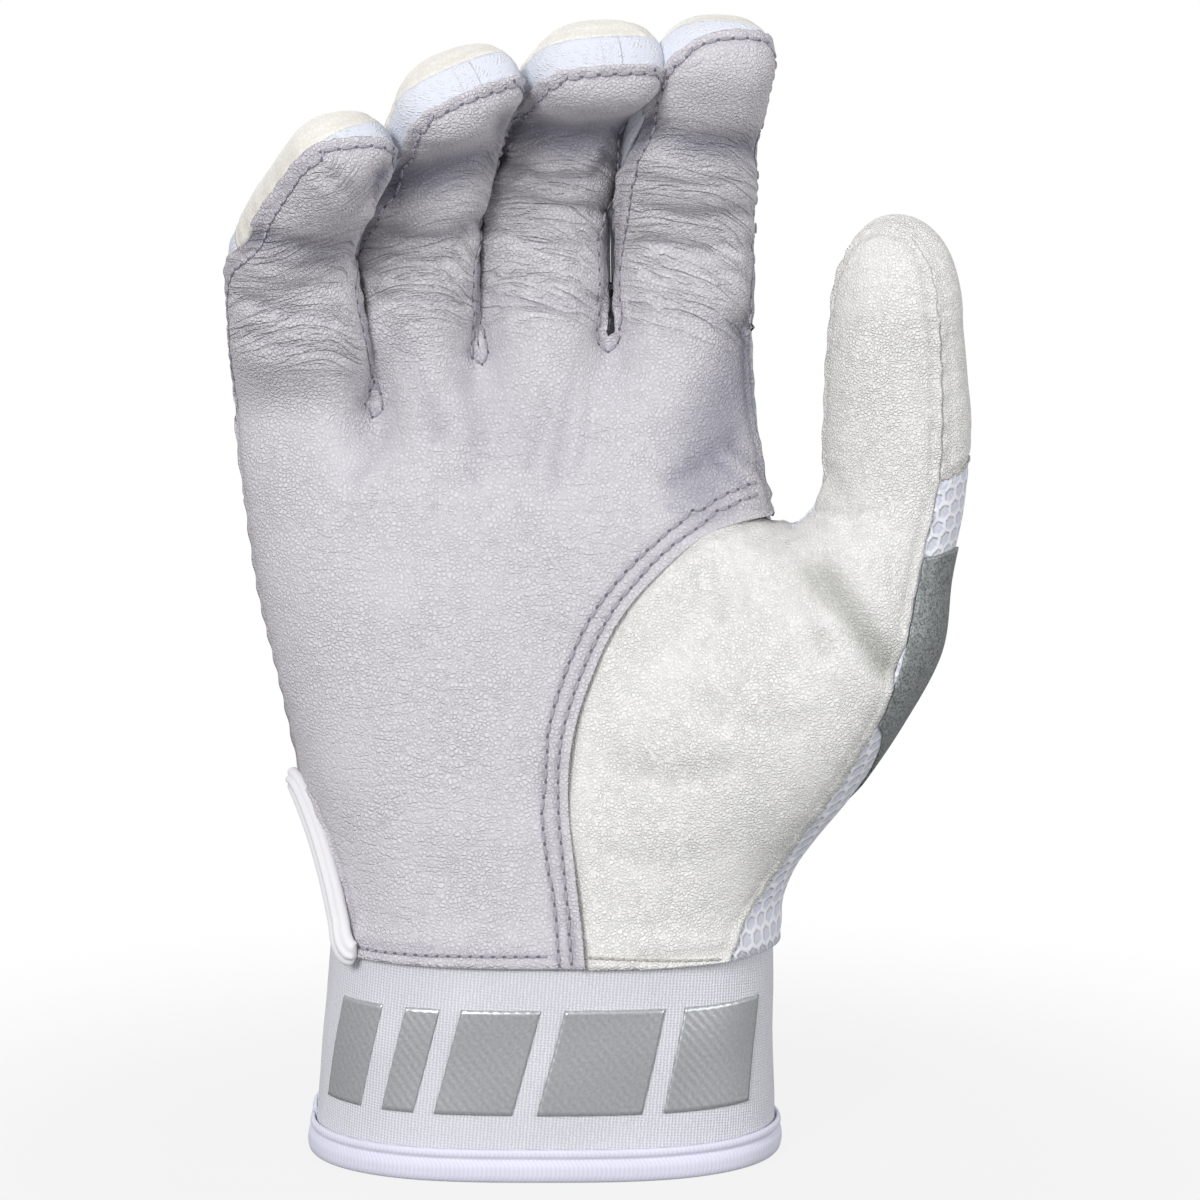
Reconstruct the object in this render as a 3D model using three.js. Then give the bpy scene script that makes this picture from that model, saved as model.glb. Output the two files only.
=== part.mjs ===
// Batting glove for the right hand, standing on its cuff with the palm towards -Y, in millimetres
import * as THREE from "three";

// Hand that fills the glove
const knuckleWidth = 92;
const wristDepth = 49;
const palmLength = 105;
const thumbLength = 127.5;
const thumbWidth = 26;
const thumbTipLength = 17.5;
const thumbSoftness = 8;
const webHeightShare = 0.7;

// Leather, cloth and thread
const leatherThickness = 1;
const meshThickness = 1;
const knitThickness = 1;
const overlayThickness = 0.6;
const overlayLift = 0.5;
const seamGap = 0.3;
const seamEdge = 0.4;
const seamTrim = 0.8;
const thumbTrim = 1.2;
const ribbonTrim = 1.5;
const threadWidth = 0.7;
const hemInset = 1.6;
const seamRowInset = 2.1;
const seamRowSpacing = 2.2;

// Cuff with its edge binding and its print
const cuffWidth = 83.5;
const cuffHeight = 40;
const cuffShift = 1.5;
const bandThickness = 1.8;
const bindingHeight = 6;
const bindingThickness = 0.9;
const printHeight = 18.6;
const printBottom = 12;
const printThickness = 0.3;

// Strap that closes the cuff, with its hook and loop patches
const strapThickness = 1.6;
const strapInset = 0.6;
const strapTopInset = 3;
const patchThickness = 0.9;
const patchInset = 3;

// Vent beside the cuff and the tape that binds it
const ventHeight = 27;
const ventDrawIn = 4.8;
const ventBackDrawIn = 3.5;
const tapeWidth = 3.6;
const tapeTuckShare = 0.99;

// Fingers and the webs between them
const fingerLength = 96;
const fingerWidth = 24;
const fingerDepth = 19;
const fingerTipLength = 9;
const webHalfDepth = 4;
const fourchetteHalfDepth = 1.5;
const webTuckShare = 0.35;
const thumbWebHalfDepth = 2.5;
const valleyWidth = 4.5;
const valleyReach = 15;
const rootBlend = 14;
const jointSoftness = 15;

// Outline of the palm from the cuff to the webs
const handLeftShares = [-0.424, -0.446, -0.484, -0.518, -0.555, -0.578, -0.6, -0.605];
const handRightShares = [0.439, 0.44, 0.44, 0.437, 0.435, 0.43, 0.406, 0.397];
const handDepthShares = [0.5, 0.469, 0.439, 0.408, 0.378, 0.337, 0.276, 0.235];

// Outline of the thumb from the cuff to its tip
const thumbMiddleShares = [0.261, 0.27, 0.328, 0.393, 0.471, 0.553, 0.636, 0.661, 0.659, 0.66, 0.668];
const thumbHalfShares = [0.631, 0.762, 0.923, 1.015, 0.992, 0.765, 0.562, 0.504, 0.462, 0.423, 0.385];
const thumbForwardShares = [0, 0.041, 0.082, 0.102, 0.102, 0.092, 0.082, 0.122, 0.163, 0.204, 0.245];
const thumbDepthShares = [0.347, 0.378, 0.398, 0.398, 0.367, 0.306, 0.255, 0.235, 0.22, 0.204, 0.184];

// Seam between palm and thumb, and where the thumb's outer seam and the seam on the back run at each height
const palmSeamShares = [
  [0.071, 0.003], [0.053, 0.138], [0.04, 0.255], [0.048, 0.355], [0.082, 0.455],
  [0.137, 0.554], [0.212, 0.629], [0.286, 0.681], [0.359, 0.705], [0.43, 0.712],
];
const outerSeamShares = [0.338, 0.415, 0.487, 0.561, 0.623, 0.662, 0.686, 0.709, 0.733, 0.739, 0.736, 0.73];
const backSeamShares = [0.299, 0.266, 0.245, 0.239, 0.255, 0.293, 0.348, 0.448];

// Fingers: shares of their sizes, and the degrees by which their three parts bend, lean and twist
const fingers = [
  { name: "pinky", middleShare: -0.449, widthShare: 1.025, partShares: [0.458, 0.177, 0.203], tipShare: 1,
    bends: [21, 50, 52], leans: [-4.5, 21, 26], twist: 28, widthShares: [1, 1, 0.87, 0.8, 0.72] },
  { name: "ring", middleShare: -0.221, widthShare: 0.85, partShares: [0.49, 0.229, 0.229], tipShare: 0.889,
    bends: [8, 41, 66], leans: [-3, 15.5, 12], twist: 28, widthShares: [0.863, 0.892, 1, 1.02, 1.05] },
  { name: "middle", middleShare: -0.009, widthShare: 0.917, partShares: [0.542, 0.229, 0.229],
    tipShare: 0.889, bends: [2, 40, 70], leans: [0, 14, 18], twist: 10,
    widthShares: [0.977, 1, 0.96, 0.955, 0.977] },
  { name: "index", middleShare: 0.266, widthShare: 1, partShares: [0.479, 0.229, 0.24], tipShare: 1,
    bends: [0, 37, 42], leans: [-0.5, 4, 14], twist: 14, widthShares: [1.17, 1.01, 0.98, 0.93, 0.78] },
];
const fingerBaseShare = 0.743;
const fingerDepthShares = [1, 1, 0.92, 0.85, 0.8];
const webShares = [[-0.33, 0.901], [-0.129, 0.988], [0.115, 1.01]];
const outerWebShares = [[-0.6, 0.901], [0.391, 1.01]];
const knuckleStartShare = 0.42;
const knuckleEndShare = 0.6;

// Roundness of the sections, and the turns in degrees at which the finger and thumb seams run
const palmSquareness = 3;
const fingerSquareness = 2.5;
const innerSeamTurn = 69.5;
const outerSeamTurn = 90;
const thumbFacing = 119;
const thumbFrontTurn = 61;
const thumbBackTurn = 119;

// Lower hem of the thumb's back leather, and the silver overlay's two edges around the outer side
const thumbHemShares = [0.776, 0.815, 0.738];
const overlayStartShare = 0.004;
const overlayEndShare = 0.9;
const overlayTopShares = [0.652, 0.66, 0.62, 0.52, 0.38];
const overlayBottomShares = [0.376, 0.25, 0.13, 0.06, 0.03];

// Turns in degrees around the cuff, from the outer side over the front to the back
const fullTurn = 360;
const bandStartTurn = 181;
const bandEndTurn = -150;
const strapEndTurn = -72;
const strapRiseTurn = 30;
const patchTurn = 44;
const loopExtraTurn = 16;
const pullTabTurn = 12;
const strapGapTurn = 2;
const strapBindingGapTurn = 3;
const patchGapTurn = 4;
const tabGapTurn = 1;
const printStartTurns = [160, 134, 118, 92, 60];
const printWidthTurns = [18, 10, 20, 26, 30];
const printSlantTurn = -6;

// Counts of cells along the sheets
const fingerColumns = 5;
const fourchetteColumns = 2;
const bodyRows = 8;
const knitRows = 3;
const tipRows = 3;
const palmRows = 9;
const thumbColumns = 6;
const thumbRows = 12;
const thumbSeamRows = 7;
const thumbBackRows = thumbRows - thumbSeamRows;
const sideColumns = 10;
const overlayRows = 5;
const cuffColumns = 26;
const bindingRows = 7;
const strapColumns = 12;
const patchColumns = 5;
const tabColumns = 2;
const printColumns = 5;
const pathSteps = 90;
const ventSteps = 10;
const tapeSides = 8;
const tapeSteps = 20;
const threadSides = 4;
const threadPoints = 12;
const threadSteps = 22;
const hemThreadShares = [0.0625, 0.875];
const tipThreadShares = [0.167, 0.833];

const front = 1;
const back = -1;
const wholeTurn = THREE.MathUtils.degToRad(fullTurn);
const halfTurn = wholeTurn / 2;
const quarterTurn = wholeTurn / 4;
const silhouetteShare = (fullTurn / 2 - 2 * thumbFrontTurn) / (2 * thumbBackTurn);
const seamEndShare = thumbSeamRows / palmRows;
const weldReach = 1 / 1024;
const webHeight = cuffHeight + palmLength * webHeightShare;
const thumbBodyEnd = cuffHeight + thumbLength - thumbTipLength;
const tipShare = tipRows / (bodyRows + tipRows);

const mix = (from, to, share) => from + (to - from) * share;
const limit = (share) => Math.min(Math.max(share, 0), 1);
const radians = THREE.MathUtils.degToRad;
const frontPoint = ([x, z]) => new THREE.Vector2(knuckleWidth * x, cuffHeight + palmLength * z);

function ease(share) {
  const held = limit(share);
  return held * held * (3 - 2 * held);
}

// A smooth value along evenly spaced shares
function profileOf(shares) {
  const curve = new THREE.SplineCurve(shares.map((value, index) => new THREE.Vector2(index, value)));
  return (share) => curve.getPoint(limit(share)).y;
}

const handLeft = profileOf(handLeftShares);
const handRight = profileOf(handRightShares);
const handDepth = profileOf(handDepthShares);
const thumbMiddle = profileOf(thumbMiddleShares);
const thumbHalf = profileOf(thumbHalfShares);
const thumbForward = profileOf(thumbForwardShares);
const thumbDepth = profileOf(thumbDepthShares);
const palmSeam = new THREE.SplineCurve(palmSeamShares.map(frontPoint));
const outerSeam = profileOf(outerSeamShares);
const backSeam = profileOf(backSeamShares);
const overlayTop = profileOf(overlayTopShares);
const overlayBottom = profileOf(overlayBottomShares);

// Places across at which the outer seam and the back seam cross a height
const outerSeamAt = (z) => knuckleWidth * outerSeam((z - cuffHeight) / (thumbBodyEnd - cuffHeight));
const backSeamAt = (z) => knuckleWidth * backSeam((z - cuffHeight) / (webHeight - cuffHeight));

// Outer size of the hand without the thumb at a height
function handAt(z) {
  const level = (z - cuffHeight) / palmLength;
  const left = knuckleWidth * handLeft(level);
  const right = knuckleWidth * handRight(level);
  const depth = wristDepth * handDepth(level);
  return { left, right, middle: (left + right) / 2, half: (right - left) / 2, depth };
}

// Outer size of the thumb and of the ball of the thumb at a height
function thumbAt(z) {
  const level = (z - cuffHeight) / thumbLength;
  const middle = knuckleWidth * thumbMiddle(level);
  const half = thumbWidth * thumbHalf(level);
  const forward = wristDepth * thumbForward(level);
  const depth = wristDepth * thumbDepth(level);
  return { left: middle - half, right: middle + half, middle, half, forward, depth };
}

// How far a rounded section stands out at a place across it, falling steeply outside it
function swell(x, section, squareness) {
  const across = Math.abs(x - section.middle) / section.half;
  if (across > 1) {
    return (1 - across) * section.half * palmSquareness;
  }
  return section.depth * Math.sqrt(1 - across ** squareness);
}

// The larger of two heights, with the crease between them filled
function smoothMax(first, second, softness) {
  const near = Math.max(softness - Math.abs(first - second), 0);
  return Math.max(first, second) + (softness > 0 ? near * near / (4 * softness) : 0);
}

// Depth of the skin at a place on the front or the back; above the web the hand and the thumb are apart
function skin(x, z, side, onThumb = false) {
  const hand = handAt(z);
  const thumb = thumbAt(z);
  const handSwell = swell(Math.max(x, hand.left), hand, palmSquareness);
  const thumbSwell = swell(x, thumb, 2) + side * thumb.forward;
  if (z >= webHeight) {
    const nearWeb = limit(1 - (z - webHeight) / thumbSoftness) * limit((x - hand.middle) / hand.half);
    const least = onThumb ? side * thumb.forward : thumbWebHalfDepth * nearWeb;
    return -side * Math.max(onThumb ? thumbSwell : handSwell, least);
  }
  const inside = limit(Math.min(x - hand.left, Math.max(hand.right, thumb.right) - x) / thumbSoftness);
  const least = mix(-wristDepth, thumbWebHalfDepth, inside);
  const softness = thumbSoftness * inside * limit((webHeight - z) / thumbSoftness);
  return -side * Math.max(smoothMax(handSwell, thumbSwell, softness), least);
}

const webs = webShares.map(frontPoint);
const outerWebs = outerWebShares.map(frontPoint);

// The hand's skin with the valleys that run down from the webs
function dentedSkin(x, z, side) {
  let y = -side * Math.max(-side * skin(x, z, side), seamEdge);
  for (const web of webs) {
    const near = Math.exp(-(((x - web.x) / valleyWidth) ** 2));
    const strength = near * ease((z - web.y + valleyReach) / valleyReach);
    y = mix(y, -side * webHalfDepth, strength);
  }
  return y;
}

// Middle line of a finger, with the directions across it and out of its palm side at each step
function fingerPath(finger) {
  const [first, second, third] = finger.partShares.map((share) => fingerLength * share);
  const [bend, nextBend, lastBend] = finger.bends;
  const [lean, nextLean, lastLean] = finger.leans;
  const length = first + second + third;
  const step = length / pathSteps;
  const root = frontPoint([finger.middleShare, fingerBaseShare]);
  const centre = new THREE.Vector3(root.x, 0, root.y);
  const frames = [];
  for (let index = 0; index <= pathSteps; index += 1) {
    const s = index * step;
    const atSecond = ease((s - first) / jointSoftness + 1 / 2);
    const atThird = ease((s - first - second) / jointSoftness + 1 / 2);
    const curl = bend * ease(s / rootBlend) + (nextBend - bend) * atSecond + (lastBend - nextBend) * atThird;
    const tilt = lean + (nextLean - lean) * atSecond + (lastLean - nextLean) * atThird;
    const ahead = new THREE.Vector3(0, 0, 1).applyAxisAngle(new THREE.Vector3(1, 0, 0), radians(curl));
    const down = new THREE.Vector3(1, 0, 0).cross(ahead);
    const along = ahead.clone().applyAxisAngle(down, -radians(tilt));
    const across = new THREE.Vector3(1, 0, 0).applyAxisAngle(down, -radians(tilt));
    across.applyAxisAngle(along, radians(finger.twist * atSecond));
    frames.push({ centre: centre.clone(), across, palmward: across.clone().cross(along) });
    centre.addScaledVector(along, step);
  }
  return { length, step, frames };
}

// The fingers with their paths, their seams and the webs on their two sides
const hand = fingers.map((finger, index) => {
  const path = fingerPath(finger);
  const tip = fingerTipLength * finger.tipShare;
  const base = frontPoint([finger.middleShare, fingerBaseShare]).y;
  const left = index > 0 ? webs[index - 1] : outerWebs[0];
  const right = index < fingers.length - 1 ? webs[index] : outerWebs[1];
  return {
    ...finger, ...path, tip, left, right,
    width: fingerWidth * finger.widthShare,
    startLeft: left.y - base, startRight: right.y - base,
    leftShared: index > 0, rightShared: index < fingers.length - 1, bodyEnd: path.length - tip,
    widthAt: profileOf(finger.widthShares), depthAt: profileOf(fingerDepthShares),
    leftTurn: radians(index > 0 ? innerSeamTurn : outerSeamTurn),
    rightTurn: radians(index < fingers.length - 1 ? innerSeamTurn : outerSeamTurn),
  };
});

// A point on a finger at a length along it, for a direction on a unit ball: across, palmward, towards its tip
function fingerSkin(finger, s, ball, side) {
  const power = 2 / fingerSquareness;
  const along = s + finger.tip * Math.max(ball.z, 0) ** power;
  const place = THREE.MathUtils.clamp(along / finger.step, 0, pathSteps);
  const low = Math.min(Math.floor(place), pathSteps - 1);
  const from = finger.frames[low];
  const to = finger.frames[low + 1];
  const half = finger.width * finger.widthAt(along / finger.length) / 2;
  const depth = fingerDepth * finger.depthAt(along / finger.length) / 2;
  const across = from.across.clone().lerp(to.across, place - low);
  const palmward = from.palmward.clone().lerp(to.palmward, place - low);
  const point = from.centre.clone().lerp(to.centre, place - low)
    .addScaledVector(across, half * Math.sign(ball.x) * Math.abs(ball.x) ** power)
    .addScaledVector(palmward, depth * ball.y);
  const start = mix(finger.startLeft, finger.startRight, (ball.x + 1) / 2);
  const own = ease((s - start) / rootBlend);
  if (own < 1 && side !== 0) {
    point.y = mix(dentedSkin(point.x, point.z, side), point.y, own);
  }
  return point;
}

// A sheet's place on the ball: a runs across it from -1 to 1, b from 0 at the tip's start to 1 at its seam
function ballAt(a, b, turn, facing = quarterTurn) {
  const reach = Math.max(Math.abs(a), b) * turn;
  const around = Math.atan2(b, a);
  const aside = Math.sin(reach) * Math.cos(around);
  const ahead = Math.cos(reach);
  const x = ahead * Math.cos(facing) + aside * Math.sin(facing);
  const y = ahead * Math.sin(facing) - aside * Math.cos(facing);
  return new THREE.Vector3(x, y, Math.sin(reach) * Math.sin(around));
}

// Front or back sheet of a finger from one length to another, or to over its tip
function fingerSheet(finger, side, from, to) {
  const trim = seamTrim / fingerDepth;
  const overTip = to === undefined;
  return (u, v) => {
    const start = from ?? mix(finger.startLeft, finger.startRight, u);
    const bodyShare = overTip ? 1 - tipShare : 1;
    const s = mix(start, overTip ? finger.bodyEnd : to, limit(v / bodyShare));
    const b = overTip ? limit((v - bodyShare) / tipShare) : 0;
    const turn = mix(finger.leftTurn, finger.rightTurn, u) - trim;
    const ball = ballAt(mix(-1, 1, u), b, turn);
    ball.y *= side;
    if (v === 0 && from === undefined && u === 0 && finger.leftShared) {
      return new THREE.Vector3(finger.left.x, -side * webHalfDepth, finger.left.y);
    }
    if (v === 0 && from === undefined && u === 1 && finger.rightShared) {
      return new THREE.Vector3(finger.right.x, -side * webHalfDepth, finger.right.y);
    }
    return fingerSkin(finger, s, ball, side);
  };
}

// How finely a surface is felt to find its facing
const feel = 1 / 256;

// The way a surface faces at a place on it
function facingOf(at, u, v) {
  const acrossU = at(limit(u + feel), v).sub(at(limit(u - feel), v));
  const acrossV = at(u, limit(v + feel)).sub(at(u, limit(v - feel)));
  return acrossU.cross(acrossV).normalize();
}

// Joins open sheets where their corners meet, keeping the outer corners, their facings and the faces
function sewn(sheets) {
  const numbers = new Map();
  const corners = [];
  const facings = [];
  const faces = [];
  for (const [at, columns, rows] of sheets) {
    const grid = new THREE.PlaneGeometry(1, 1, columns, rows);
    const own = [];
    for (let row = rows; row >= 0; row -= 1) {
      for (let column = 0; column <= columns; column += 1) {
        const point = at(column / columns, row / rows);
        const key = point.toArray().map((value) => Math.round(value / weldReach)).join();
        if (!numbers.has(key)) {
          numbers.set(key, corners.length);
          corners.push(point);
          facings.push(new THREE.Vector3());
        }
        facings[numbers.get(key)].add(facingOf(at, column / columns, row / rows));
        own.push(numbers.get(key));
      }
    }
    const index = grid.getIndex().array;
    for (let place = 0; place < index.length; place += 3) {
      const face = [own[index[place]], own[index[place + 1]], own[index[place + 2]]];
      if (new Set(face).size === face.length) {
        faces.push(face);
      }
    }
  }
  return { corners, facings, faces };
}

function solidOf(corners, faces) {
  const solid = new THREE.BufferGeometry();
  const places = corners.flatMap((corner) => [...corner]);
  solid.setAttribute("position", new THREE.Float32BufferAttribute(places, 3));
  solid.setIndex(faces.flat());
  solid.computeVertexNormals();
  return solid;
}

// Joined open sheets made into one closed shell, thick inwards
function shell(sheets, thickness) {
  const { corners, facings, faces } = sewn(sheets);
  const count = corners.length;
  const inside = corners.map((corner, place) => {
    return corner.clone().addScaledVector(facings[place].normalize(), -thickness);
  });
  const edges = new Map();
  for (const face of faces) {
    face.forEach((from, place) => {
      const to = face[(place + 1) % face.length];
      edges.set(`${from},${to}`, [from, to]);
    });
  }
  const walls = faces.map(([first, second, third]) => [count + third, count + second, count + first]);
  for (const [from, to] of edges.values()) {
    if (!edges.has(`${to},${from}`)) {
      walls.push([to, from, count + from], [to, count + from, count + to]);
    }
  }
  return solidOf([...corners, ...inside], [...faces, ...walls]);
}

// A round rod along a curve, drawn in to a point at both ends
function rod(points, radius, sides, steps) {
  const curve = new THREE.CatmullRomCurve3(points);
  const { normals, binormals } = curve.computeFrenetFrames(steps, false);
  const at = (u, v) => {
    const place = Math.round(v * steps);
    const turn = wholeTurn * u;
    const reach = place === 0 || place === steps ? 0 : radius;
    return curve.getPointAt(place / steps)
      .addScaledVector(normals[place], reach * Math.cos(turn))
      .addScaledVector(binormals[place], reach * Math.sin(turn));
  };
  const { corners, faces } = sewn([[at, sides, steps]]);
  return solidOf(corners, faces);
}

// The same surface seen from its other end, so that its facing turns round
const mirrored = (at) => (u, v) => at(1 - u, v);

// The same surface moved out along its own facing
const lifted = (at, lift) => (u, v) => at(u, v).addScaledVector(facingOf(at, u, v), lift);

// Evenly spaced places from one value to another
const spaced = (from, to, count) => {
  return Array.from({ length: count + 1 }, (_, index) => mix(from, to, index / count));
};

const glove = new THREE.Group();

function add(name, geometry, colour, roughness, metalness = 0) {
  const finish = new THREE.MeshStandardMaterial({ color: colour, roughness, metalness });
  const piece = new THREE.Mesh(geometry, finish);
  piece.name = name;
  glove.add(piece);
}

// A patch of the hand between its left and right edges, with the webs as its top edge
function handPatch(side, leftEdge, rightEdge) {
  const sheets = hand.map((finger) => fingerSheet(finger, side));
  const topAt = (c) => {
    const place = Math.min(Math.floor(c * fingers.length), fingers.length - 1);
    return sheets[place](c * fingers.length - place, 0);
  };
  const [topLeft, topRight] = [topAt(0), topAt(1)].map((corner) => new THREE.Vector2(corner.x, corner.z));
  const bottomLeft = leftEdge(0, topLeft);
  const bottomRight = rightEdge(0, topRight);
  return (c, v) => {
    const upper = topAt(c);
    if (v === 1) {
      return upper;
    }
    const bottom = bottomLeft.clone().lerp(bottomRight, c);
    const top = new THREE.Vector2(upper.x, upper.z);
    const sides = leftEdge(v, topLeft).lerp(rightEdge(v, topRight), c);
    const corners = bottom.clone().lerp(topLeft.clone().lerp(topRight, c), v);
    const place = bottom.lerp(top, v).add(sides).sub(corners);
    return new THREE.Vector3(place.x, dentedSkin(place.x, place.y, side), place.y);
  };
}

// How far the vent is open at a height, as a share of how far its edges are drawn in at the cuff
const ventOpenAt = (z) => Math.sqrt(limit(1 - (z - cuffHeight) / ventHeight));

// Left edge of the hand up to a finger's corner: along the vent and then up its side
function leftEdgeOf(drawIn) {
  return (v, top) => {
    const z = mix(cuffHeight + seamGap, top.y, v);
    const open = ventOpenAt(z);
    const ahead = top.x - handAt(top.y).left;
    return new THREE.Vector2(handAt(z).left + drawIn * open + ahead * v, z);
  };
}

// The side of the index finger between the thumb's web and the finger's own corner
function indexSide(start, share, top) {
  const z = mix(start.y, top.y, share);
  const ahead = mix(start.x - handAt(start.y).right, top.x - handAt(top.y).right, share);
  return new THREE.Vector2(handAt(z).right + ahead, z);
}

// Right edge of the palm leather: along the seam with the thumb and then up the side of the index finger
function palmRightEdge(v, top) {
  if (v <= seamEndShare) {
    return palmSeam.getPointAt(v / seamEndShare);
  }
  return indexSide(palmSeam.getPointAt(1), (v - seamEndShare) / (1 - seamEndShare), top);
}

// Right edge of the mesh back: along the thumb's gusset and then up the side of the index finger
function backRightEdge(v, top) {
  const z = mix(cuffHeight + seamGap, thumbHemAt(1) - seamGap, Math.min(v / seamEndShare, 1));
  const start = new THREE.Vector2(z < webHeight ? backSeamAt(z) - seamGap / 2 : handAt(z).right, z);
  return v <= seamEndShare ? start : indexSide(start, (v - seamEndShare) / (1 - seamEndShare), top);
}

const palmPatch = handPatch(front, leftEdgeOf(ventDrawIn), palmRightEdge);
const backPatch = handPatch(back, leftEdgeOf(ventBackDrawIn), backRightEdge);

// One piece of leather for the palm and the fronts of the four fingers
function palmLeather() {
  const sheets = [[palmPatch, fingerColumns * fingers.length, palmRows]];
  for (const finger of hand) {
    sheets.push([fingerSheet(finger, front), fingerColumns, bodyRows + tipRows]);
  }
  add("palm_leather", shell(sheets, leatherThickness), 0xd2d0d6, 0.62);
}

// One piece of mesh cloth for the back of the hand, up to the knits over the knuckles
function handBack() {
  const sheets = [[mirrored(backPatch), fingerColumns * fingers.length, palmRows]];
  for (const finger of hand) {
    const end = finger.length * knuckleStartShare - seamGap / 2;
    sheets.push([mirrored(fingerSheet(finger, back, undefined, end)), fingerColumns, knitRows]);
  }
  add("hand_back_mesh", shell(sheets, meshThickness), 0xdfe2e8, 0.85);
}

// The knits over the knuckles and the leather backs of the fingers
function fingerBacks() {
  for (const finger of hand) {
    const start = finger.length * knuckleStartShare + seamGap / 2;
    const end = finger.length * knuckleEndShare;
    const knit = mirrored(fingerSheet(finger, back, start, end - seamGap / 2));
    const leather = mirrored(fingerSheet(finger, back, end + seamGap / 2));
    add(`knuckle_knit_${finger.name}`, shell([[knit, fingerColumns, knitRows]], knitThickness),
      0xe4e6ec, 0.9);
    add(`finger_back_${finger.name}`, shell([[leather, fingerColumns, bodyRows + tipRows]], leatherThickness),
      0xf4f1ea, 0.6);
  }
}

// Ribbed ribbons between two fingers, from one tip down into the web and up to the next tip
function fourchettes() {
  const ribbonRows = bodyRows + 2 * tipRows;
  webs.forEach((web, place) => {
    const [from, to] = [hand[place], hand[place + 1]];
    const at = (u, v) => {
      const finger = u < 1 / 2 ? from : to;
      const start = u < 1 / 2 ? finger.startRight : finger.startLeft;
      const reach = Math.abs(2 * u - 1) * ribbonRows;
      const over = Math.max(reach - bodyRows, 0) / tipRows;
      const turns = [finger.rightTurn, finger.leftTurn];
      const [ownTurn, otherTurn] = u < 1 / 2 ? turns : turns.reverse();
      const tuck = mix(webTuckShare, 1, ease(reach / tipRows));
      const seamTurn = mix(ownTurn, otherTurn, Math.max(over - 1, 0) / 2);
      const edge = tuck * (Math.cos(seamTurn) - ribbonTrim / fingerWidth);
      const y = mix(edge, -edge, v);
      const overTurn = over < 1 ? Math.atan(over) : quarterTurn - Math.atan(2 - over);
      const turn = Math.min(overTurn, quarterTurn - seamTrim / fingerWidth);
      const flat = Math.sqrt(1 - y * y);
      const ball = new THREE.Vector3(Math.sign(1 / 2 - u) * Math.cos(turn) * flat, y, Math.sin(turn) * flat);
      const point = fingerSkin(finger, mix(start, finger.bodyEnd, limit(reach / bodyRows)), ball, 0);
      const middle = new THREE.Vector3(web.x, mix(-fourchetteHalfDepth, fourchetteHalfDepth, v), web.y);
      return middle.lerp(point, ease(reach));
    };
    const name = `fourchette_${from.name}_${to.name}`;
    add(name, shell([[at, 2 * ribbonRows, fourchetteColumns]], knitThickness), 0xd3d6e2, 0.85);
  });
}

// Front leather of the thumb, from the cuff and the palm's seam up over the tip
function thumbLeather() {
  const trim = thumbTrim / thumbWidth;
  const turn = radians(2 * thumbFrontTurn) - trim;
  const rows = thumbRows + tipRows;
  const seamRow = thumbSeamRows / rows;
  const thumbFoldHeight = thumbHemAt(0) - seamGap;
  const bodyRow = thumbRows / rows;
  const at = (u, v) => {
    if (v >= bodyRow) {
      const over = (v - bodyRow) / (1 - bodyRow);
      return thumbTip(mix(-1, 1, u), over, radians(thumbFrontTurn) - trim, thumbFacing);
    }
    const above = (v - seamRow) / (bodyRow - seamRow);
    const rightLevel = v < seamRow ? mix(cuffHeight + seamGap, thumbFoldHeight, v / seamRow)
      : mix(thumbFoldHeight, thumbBodyEnd, above);
    const right = new THREE.Vector2(outerSeamAt(rightLevel) - seamGap / 2, rightLevel);
    if (v <= seamRow) {
      const share = v / seamRow;
      const along = palmSeam.getTangentAt(share);
      const apart = new THREE.Vector2(along.y, -along.x).multiplyScalar(seamGap);
      const left = palmSeam.getPointAt(share).add(apart);
      const place = left.lerp(right, u);
      const level = Math.min(place.y, mix(webHeight - seamGap, place.y, limit(u * thumbColumns)));
      return new THREE.Vector3(place.x, skin(place.x, level, front, level >= webHeight), place.y);
    }
    const leftLevel = mix(webHeight, thumbBodyEnd, above);
    const angle = mix(trim, turn, u);
    const share = (Math.cos(trim) - Math.cos(angle)) / (Math.cos(trim) - Math.cos(turn));
    const thumb = thumbAt(leftLevel);
    const x = mix(thumb.middle - thumb.half * Math.cos(trim), right.x, share);
    const z = mix(leftLevel, rightLevel, u);
    return new THREE.Vector3(x, skin(x, z, front, z >= webHeight), z);
  };
  add("thumb_leather", shell([[at, thumbColumns, rows]], leatherThickness), 0xe6e6e4, 0.6);
}

// A point over the rounded tip of the thumb
function thumbTip(a, b, turn, facing) {
  const ball = ballAt(a, b, turn, radians(facing));
  const z = thumbBodyEnd + thumbTipLength * ball.z;
  const thumb = thumbAt(thumbBodyEnd);
  return new THREE.Vector3(thumb.middle + thumb.half * ball.x, -(thumb.forward + thumb.depth * ball.y), z);
}

// Height of the hem of the thumb's back leather, from the outer seam round to its inner side
function thumbHemAt(t) {
  const [seam, side, inner] = thumbHemShares.map((share) => frontPoint([0, share]).y);
  return t < silhouetteShare ? mix(seam, side, t / silhouetteShare)
    : mix(side, inner, (t - silhouetteShare) / (1 - silhouetteShare));
}

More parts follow.
